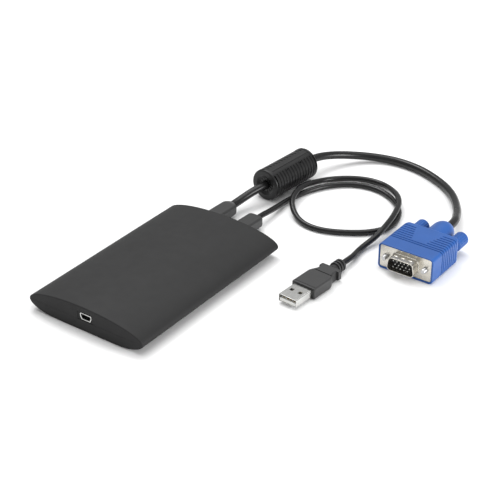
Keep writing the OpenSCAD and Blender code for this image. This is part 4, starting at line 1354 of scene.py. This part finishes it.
sleeve_w = 12
sleeve_h = 4.5
sleeve_l = 13.7
sleeve_tail = 5.05
sleeve_end = sleeve_l + sleeve_tail
sleeve_corner_r = 0.6
sleeve_wall = 0.3
sleeve_lip = 0.12
sleeve_hole = 2.2
sleeve_hole_share = 0.55
sleeve_hole_x_share = 0.235
grip_w = 15.4
grip_h = 6.9
grip_l = 14.2
grip_edge_r = 1
grip_soft = 0.5
grip_groove_w = 0.6
grip_groove_depth = 0.4
grip_groove_in = 2.8
grip_lip_l = 1.5
grip_lip_w = 0.35
grip_lip_depth = 0.2
data_mould_l = 4.6
waist_l = 6.3
waist_hold_l = 2.6
waist_w = 10.6
waist_steps = 8
wing_w = 13.6
wing_t = 2.8
wing_h = 6
wing_soft = 0.45
boot_neck_l = 1.8
boot_neck_w = 6
boot_neck_steps = 5
boot_r = 2.8
boot_ring_r = 3.7
boot_ring_count = 3
boot_ring_w = 1.2
boot_ring_gap = 2.2
ring_soft = 0.3
grip_end = sleeve_l + grip_l
wing_front = grip_end + waist_l + waist_hold_l
boot_neck_start = wing_front + wing_t
boot_start = boot_neck_start + boot_neck_l


def grip_outline(width, height, radius):
    """Outline of the grip, a rounded rectangle or a circle."""
    return between(0, width, grip_z - height / 2, grip_z + height / 2, radius)


def boot_circle(y):
    """Ring of the boot between its raised rings."""
    return at_depth(grip_outline(2 * boot_r, 2 * boot_r, boot_r), y)


def soft_block(start, finish, width, height, radius, soft_start, soft_finish):
    """Rings of a block whose end edges are rounded."""
    return soft_rings(
        lambda inset: grip_outline(width - 2 * inset, height - 2 * inset, radius),
        start,
        finish,
        soft_start,
        soft_finish,
    )


grip_rings = soft_block(sleeve_l, grip_end, grip_w, grip_h, grip_edge_r, grip_soft, 0)
for i in range(1, waist_steps + 1):
    share = i / waist_steps
    width = grip_w + (waist_w - grip_w) * soft_step(share)
    outline = grip_outline(width, grip_h, grip_edge_r)
    grip_rings.append(at_depth(outline, grip_end + waist_l * share))
grip_rings.append(at_depth(grip_outline(waist_w, grip_h, grip_edge_r), wing_front))
grip_rings += soft_block(
    wing_front, boot_neck_start, wing_w, wing_h, grip_edge_r, wing_soft, wing_soft
)
for i in range(boot_neck_steps + 1):
    share = i / boot_neck_steps
    width = boot_neck_w + (2 * boot_r - boot_neck_w) * soft_step(share)
    outline = grip_outline(width, width, width / 2)
    grip_rings.append(at_depth(outline, boot_neck_start + boot_neck_l * share))
for i in range(boot_ring_count):
    finish = boot_start + (i + 1) * boot_ring_gap
    start = finish - boot_ring_w
    ring_d = 2 * boot_ring_r
    grip_rings.append(boot_circle(start))
    grip_rings += soft_block(start, finish, ring_d, ring_d, boot_ring_r, ring_soft, ring_soft)
    grip_rings.append(boot_circle(finish))
grip_rings.append(boot_circle(boot_end))

grip = make_object("data_grip_body", [loft(grip_rings)])
room_start = sleeve_l - over
room_end = sleeve_end + data_mould_l
room_size = (sleeve_w + 2 * fit, room_end - room_start, sleeve_h + 2 * fit)
carve(grip, [block_at((0, (room_start + room_end) / 2, grip_z), room_size)])
grip_top = grip_z + grip_h / 2
for y, width, depth in (
    (grip_end + grip_groove_in, grip_groove_w, grip_groove_depth),
    (sleeve_l + grip_lip_l, grip_lip_w, grip_lip_depth),
):
    carve(grip, [block_at((0, y, grip_top), (2 * grip_w, width, 2 * depth))])
finish_at(grip, at_data_plug, grip_plastic, "case", "data_grip")


def sleeve_outline(inset):
    """Outline of the data plug's sleeve."""
    width = sleeve_w - 2 * inset
    return round_rect(width, sleeve_h - 2 * inset, sleeve_corner_r - inset, 0, grip_z)


sleeve = thin_sleeve(
    "data_shell", sleeve_outline, 0, sleeve_end, sleeve_wall, sleeve_lip, sleeve_lip
)
sleeve_hole_y = sleeve_hole_share * sleeve_l
sleeve_hole_x = sleeve_hole_x_share * sleeve_w
hole_size = (sleeve_hole, sleeve_hole, 2 * sleeve_h)
carve(
    sleeve,
    [block_at((x, sleeve_hole_y, grip_z), hole_size) for x in (-sleeve_hole_x, sleeve_hole_x)],
)
finish_at(sleeve, at_data_plug, tin, "case", "data_sleeve")

tongue_h = 1.9
tongue_in = 0.3
tongue_edge = 0.2
tongue_w = sleeve_w - 2 * sleeve_corner_r
tongue_low = grip_z - sleeve_h / 2 + sleeve_wall
tongue_outline = between(0, tongue_w, tongue_low, tongue_low + tongue_h, tongue_edge)
tongue = make_object(
    "data_core",
    [rounded_prism(tongue_outline, tongue_in, sleeve_end, tongue_edge, tongue_edge / 2)],
)
finish_at(tongue, at_data_plug, white_plastic, "case", "data_tongue")


# Cords along their routes

make_cord("video_cord_jacket", video_route, video_cord_d)
make_cord("data_cord_jacket", data_route, data_cord_d)


# Stage: a pale floor, soft light from the upper left and a bright surround

floor_half = 3000
surround_strength = 0.55
backdrop_strength = 1
middle = (40, 60, 0)
key_at = (-500, 300, 850)
key_size = 400
key_brightness = 0.32
side_at = (900, 150, 230)
side_size = 420
side_brightness = 0.75
sky_strength = 0.5
sky_spread = 60
sky_tilt = (-12, -8, 0)
soft_shine = 0.3
full_shine = 1

floor_mesh = bpy.data.meshes.new("floor")
floor_corners = [(-1, -1), (1, -1), (1, 1), (-1, 1)]
floor_points = [Vector((x, y, 0)) * floor_half * MM for x, y in floor_corners]
floor_mesh.from_pydata(floor_points, [], [(0, 1, 2, 3)])
floor = add_object("floor", floor_mesh)
floor_mesh.materials.append(floor_paper)

white = (1, 1, 1, 1)
world = bpy.data.worlds.new("surround")
world.use_nodes = True
tree = world.node_tree
surround = tree.nodes["Background"]
surround.inputs["Color"].default_value = white
surround.inputs["Strength"].default_value = surround_strength
backdrop = add_node(tree, "ShaderNodeBackground", Color=white, Strength=backdrop_strength)
seen = add_node(tree, "ShaderNodeLightPath")
mix = add_node(tree, "ShaderNodeMixShader")
connect(seen, "Is Camera Ray", mix, 0)
connect(surround, "Background", mix, 1)
connect(backdrop, "Background", mix, 2)
connect(mix, "Shader", tree.nodes["World Output"], "Surface")
bpy.context.scene.world = world
bpy.context.scene.view_settings.view_transform = "Standard"


def add_lamp(name, kind, energy, shine, turn):
    """Lamp with its strength, the share of it that shines in glossy surfaces, and its turn."""
    data = bpy.data.lights.new(name, kind)
    data.energy = energy
    data.specular_factor = shine
    lamp = add_object(name, data)
    lamp.rotation_euler = turn
    return lamp


def area_lamp(name, place, size, brightness, shine):
    """Square lamp aimed at the middle, its brightness that of a white floor square below it."""
    aim = Vector(middle) - Vector(place)
    energy = brightness * math.pi * math.pi * (aim.length * MM) ** 2
    lamp = add_lamp(name, "AREA", energy, shine, aim.to_track_quat("-Z", "Y").to_euler())
    lamp.data.size = size * MM
    lamp.location = Vector(place) * MM


area_lamp("key", key_at, key_size, key_brightness, soft_shine)
area_lamp("side", side_at, side_size, side_brightness, full_shine)
sky_turn = [math.radians(tilt) for tilt in sky_tilt]
sky = add_lamp("sky", "SUN", sky_strength * math.pi, soft_shine, sky_turn)
sky.data.angle = math.radians(sky_spread)
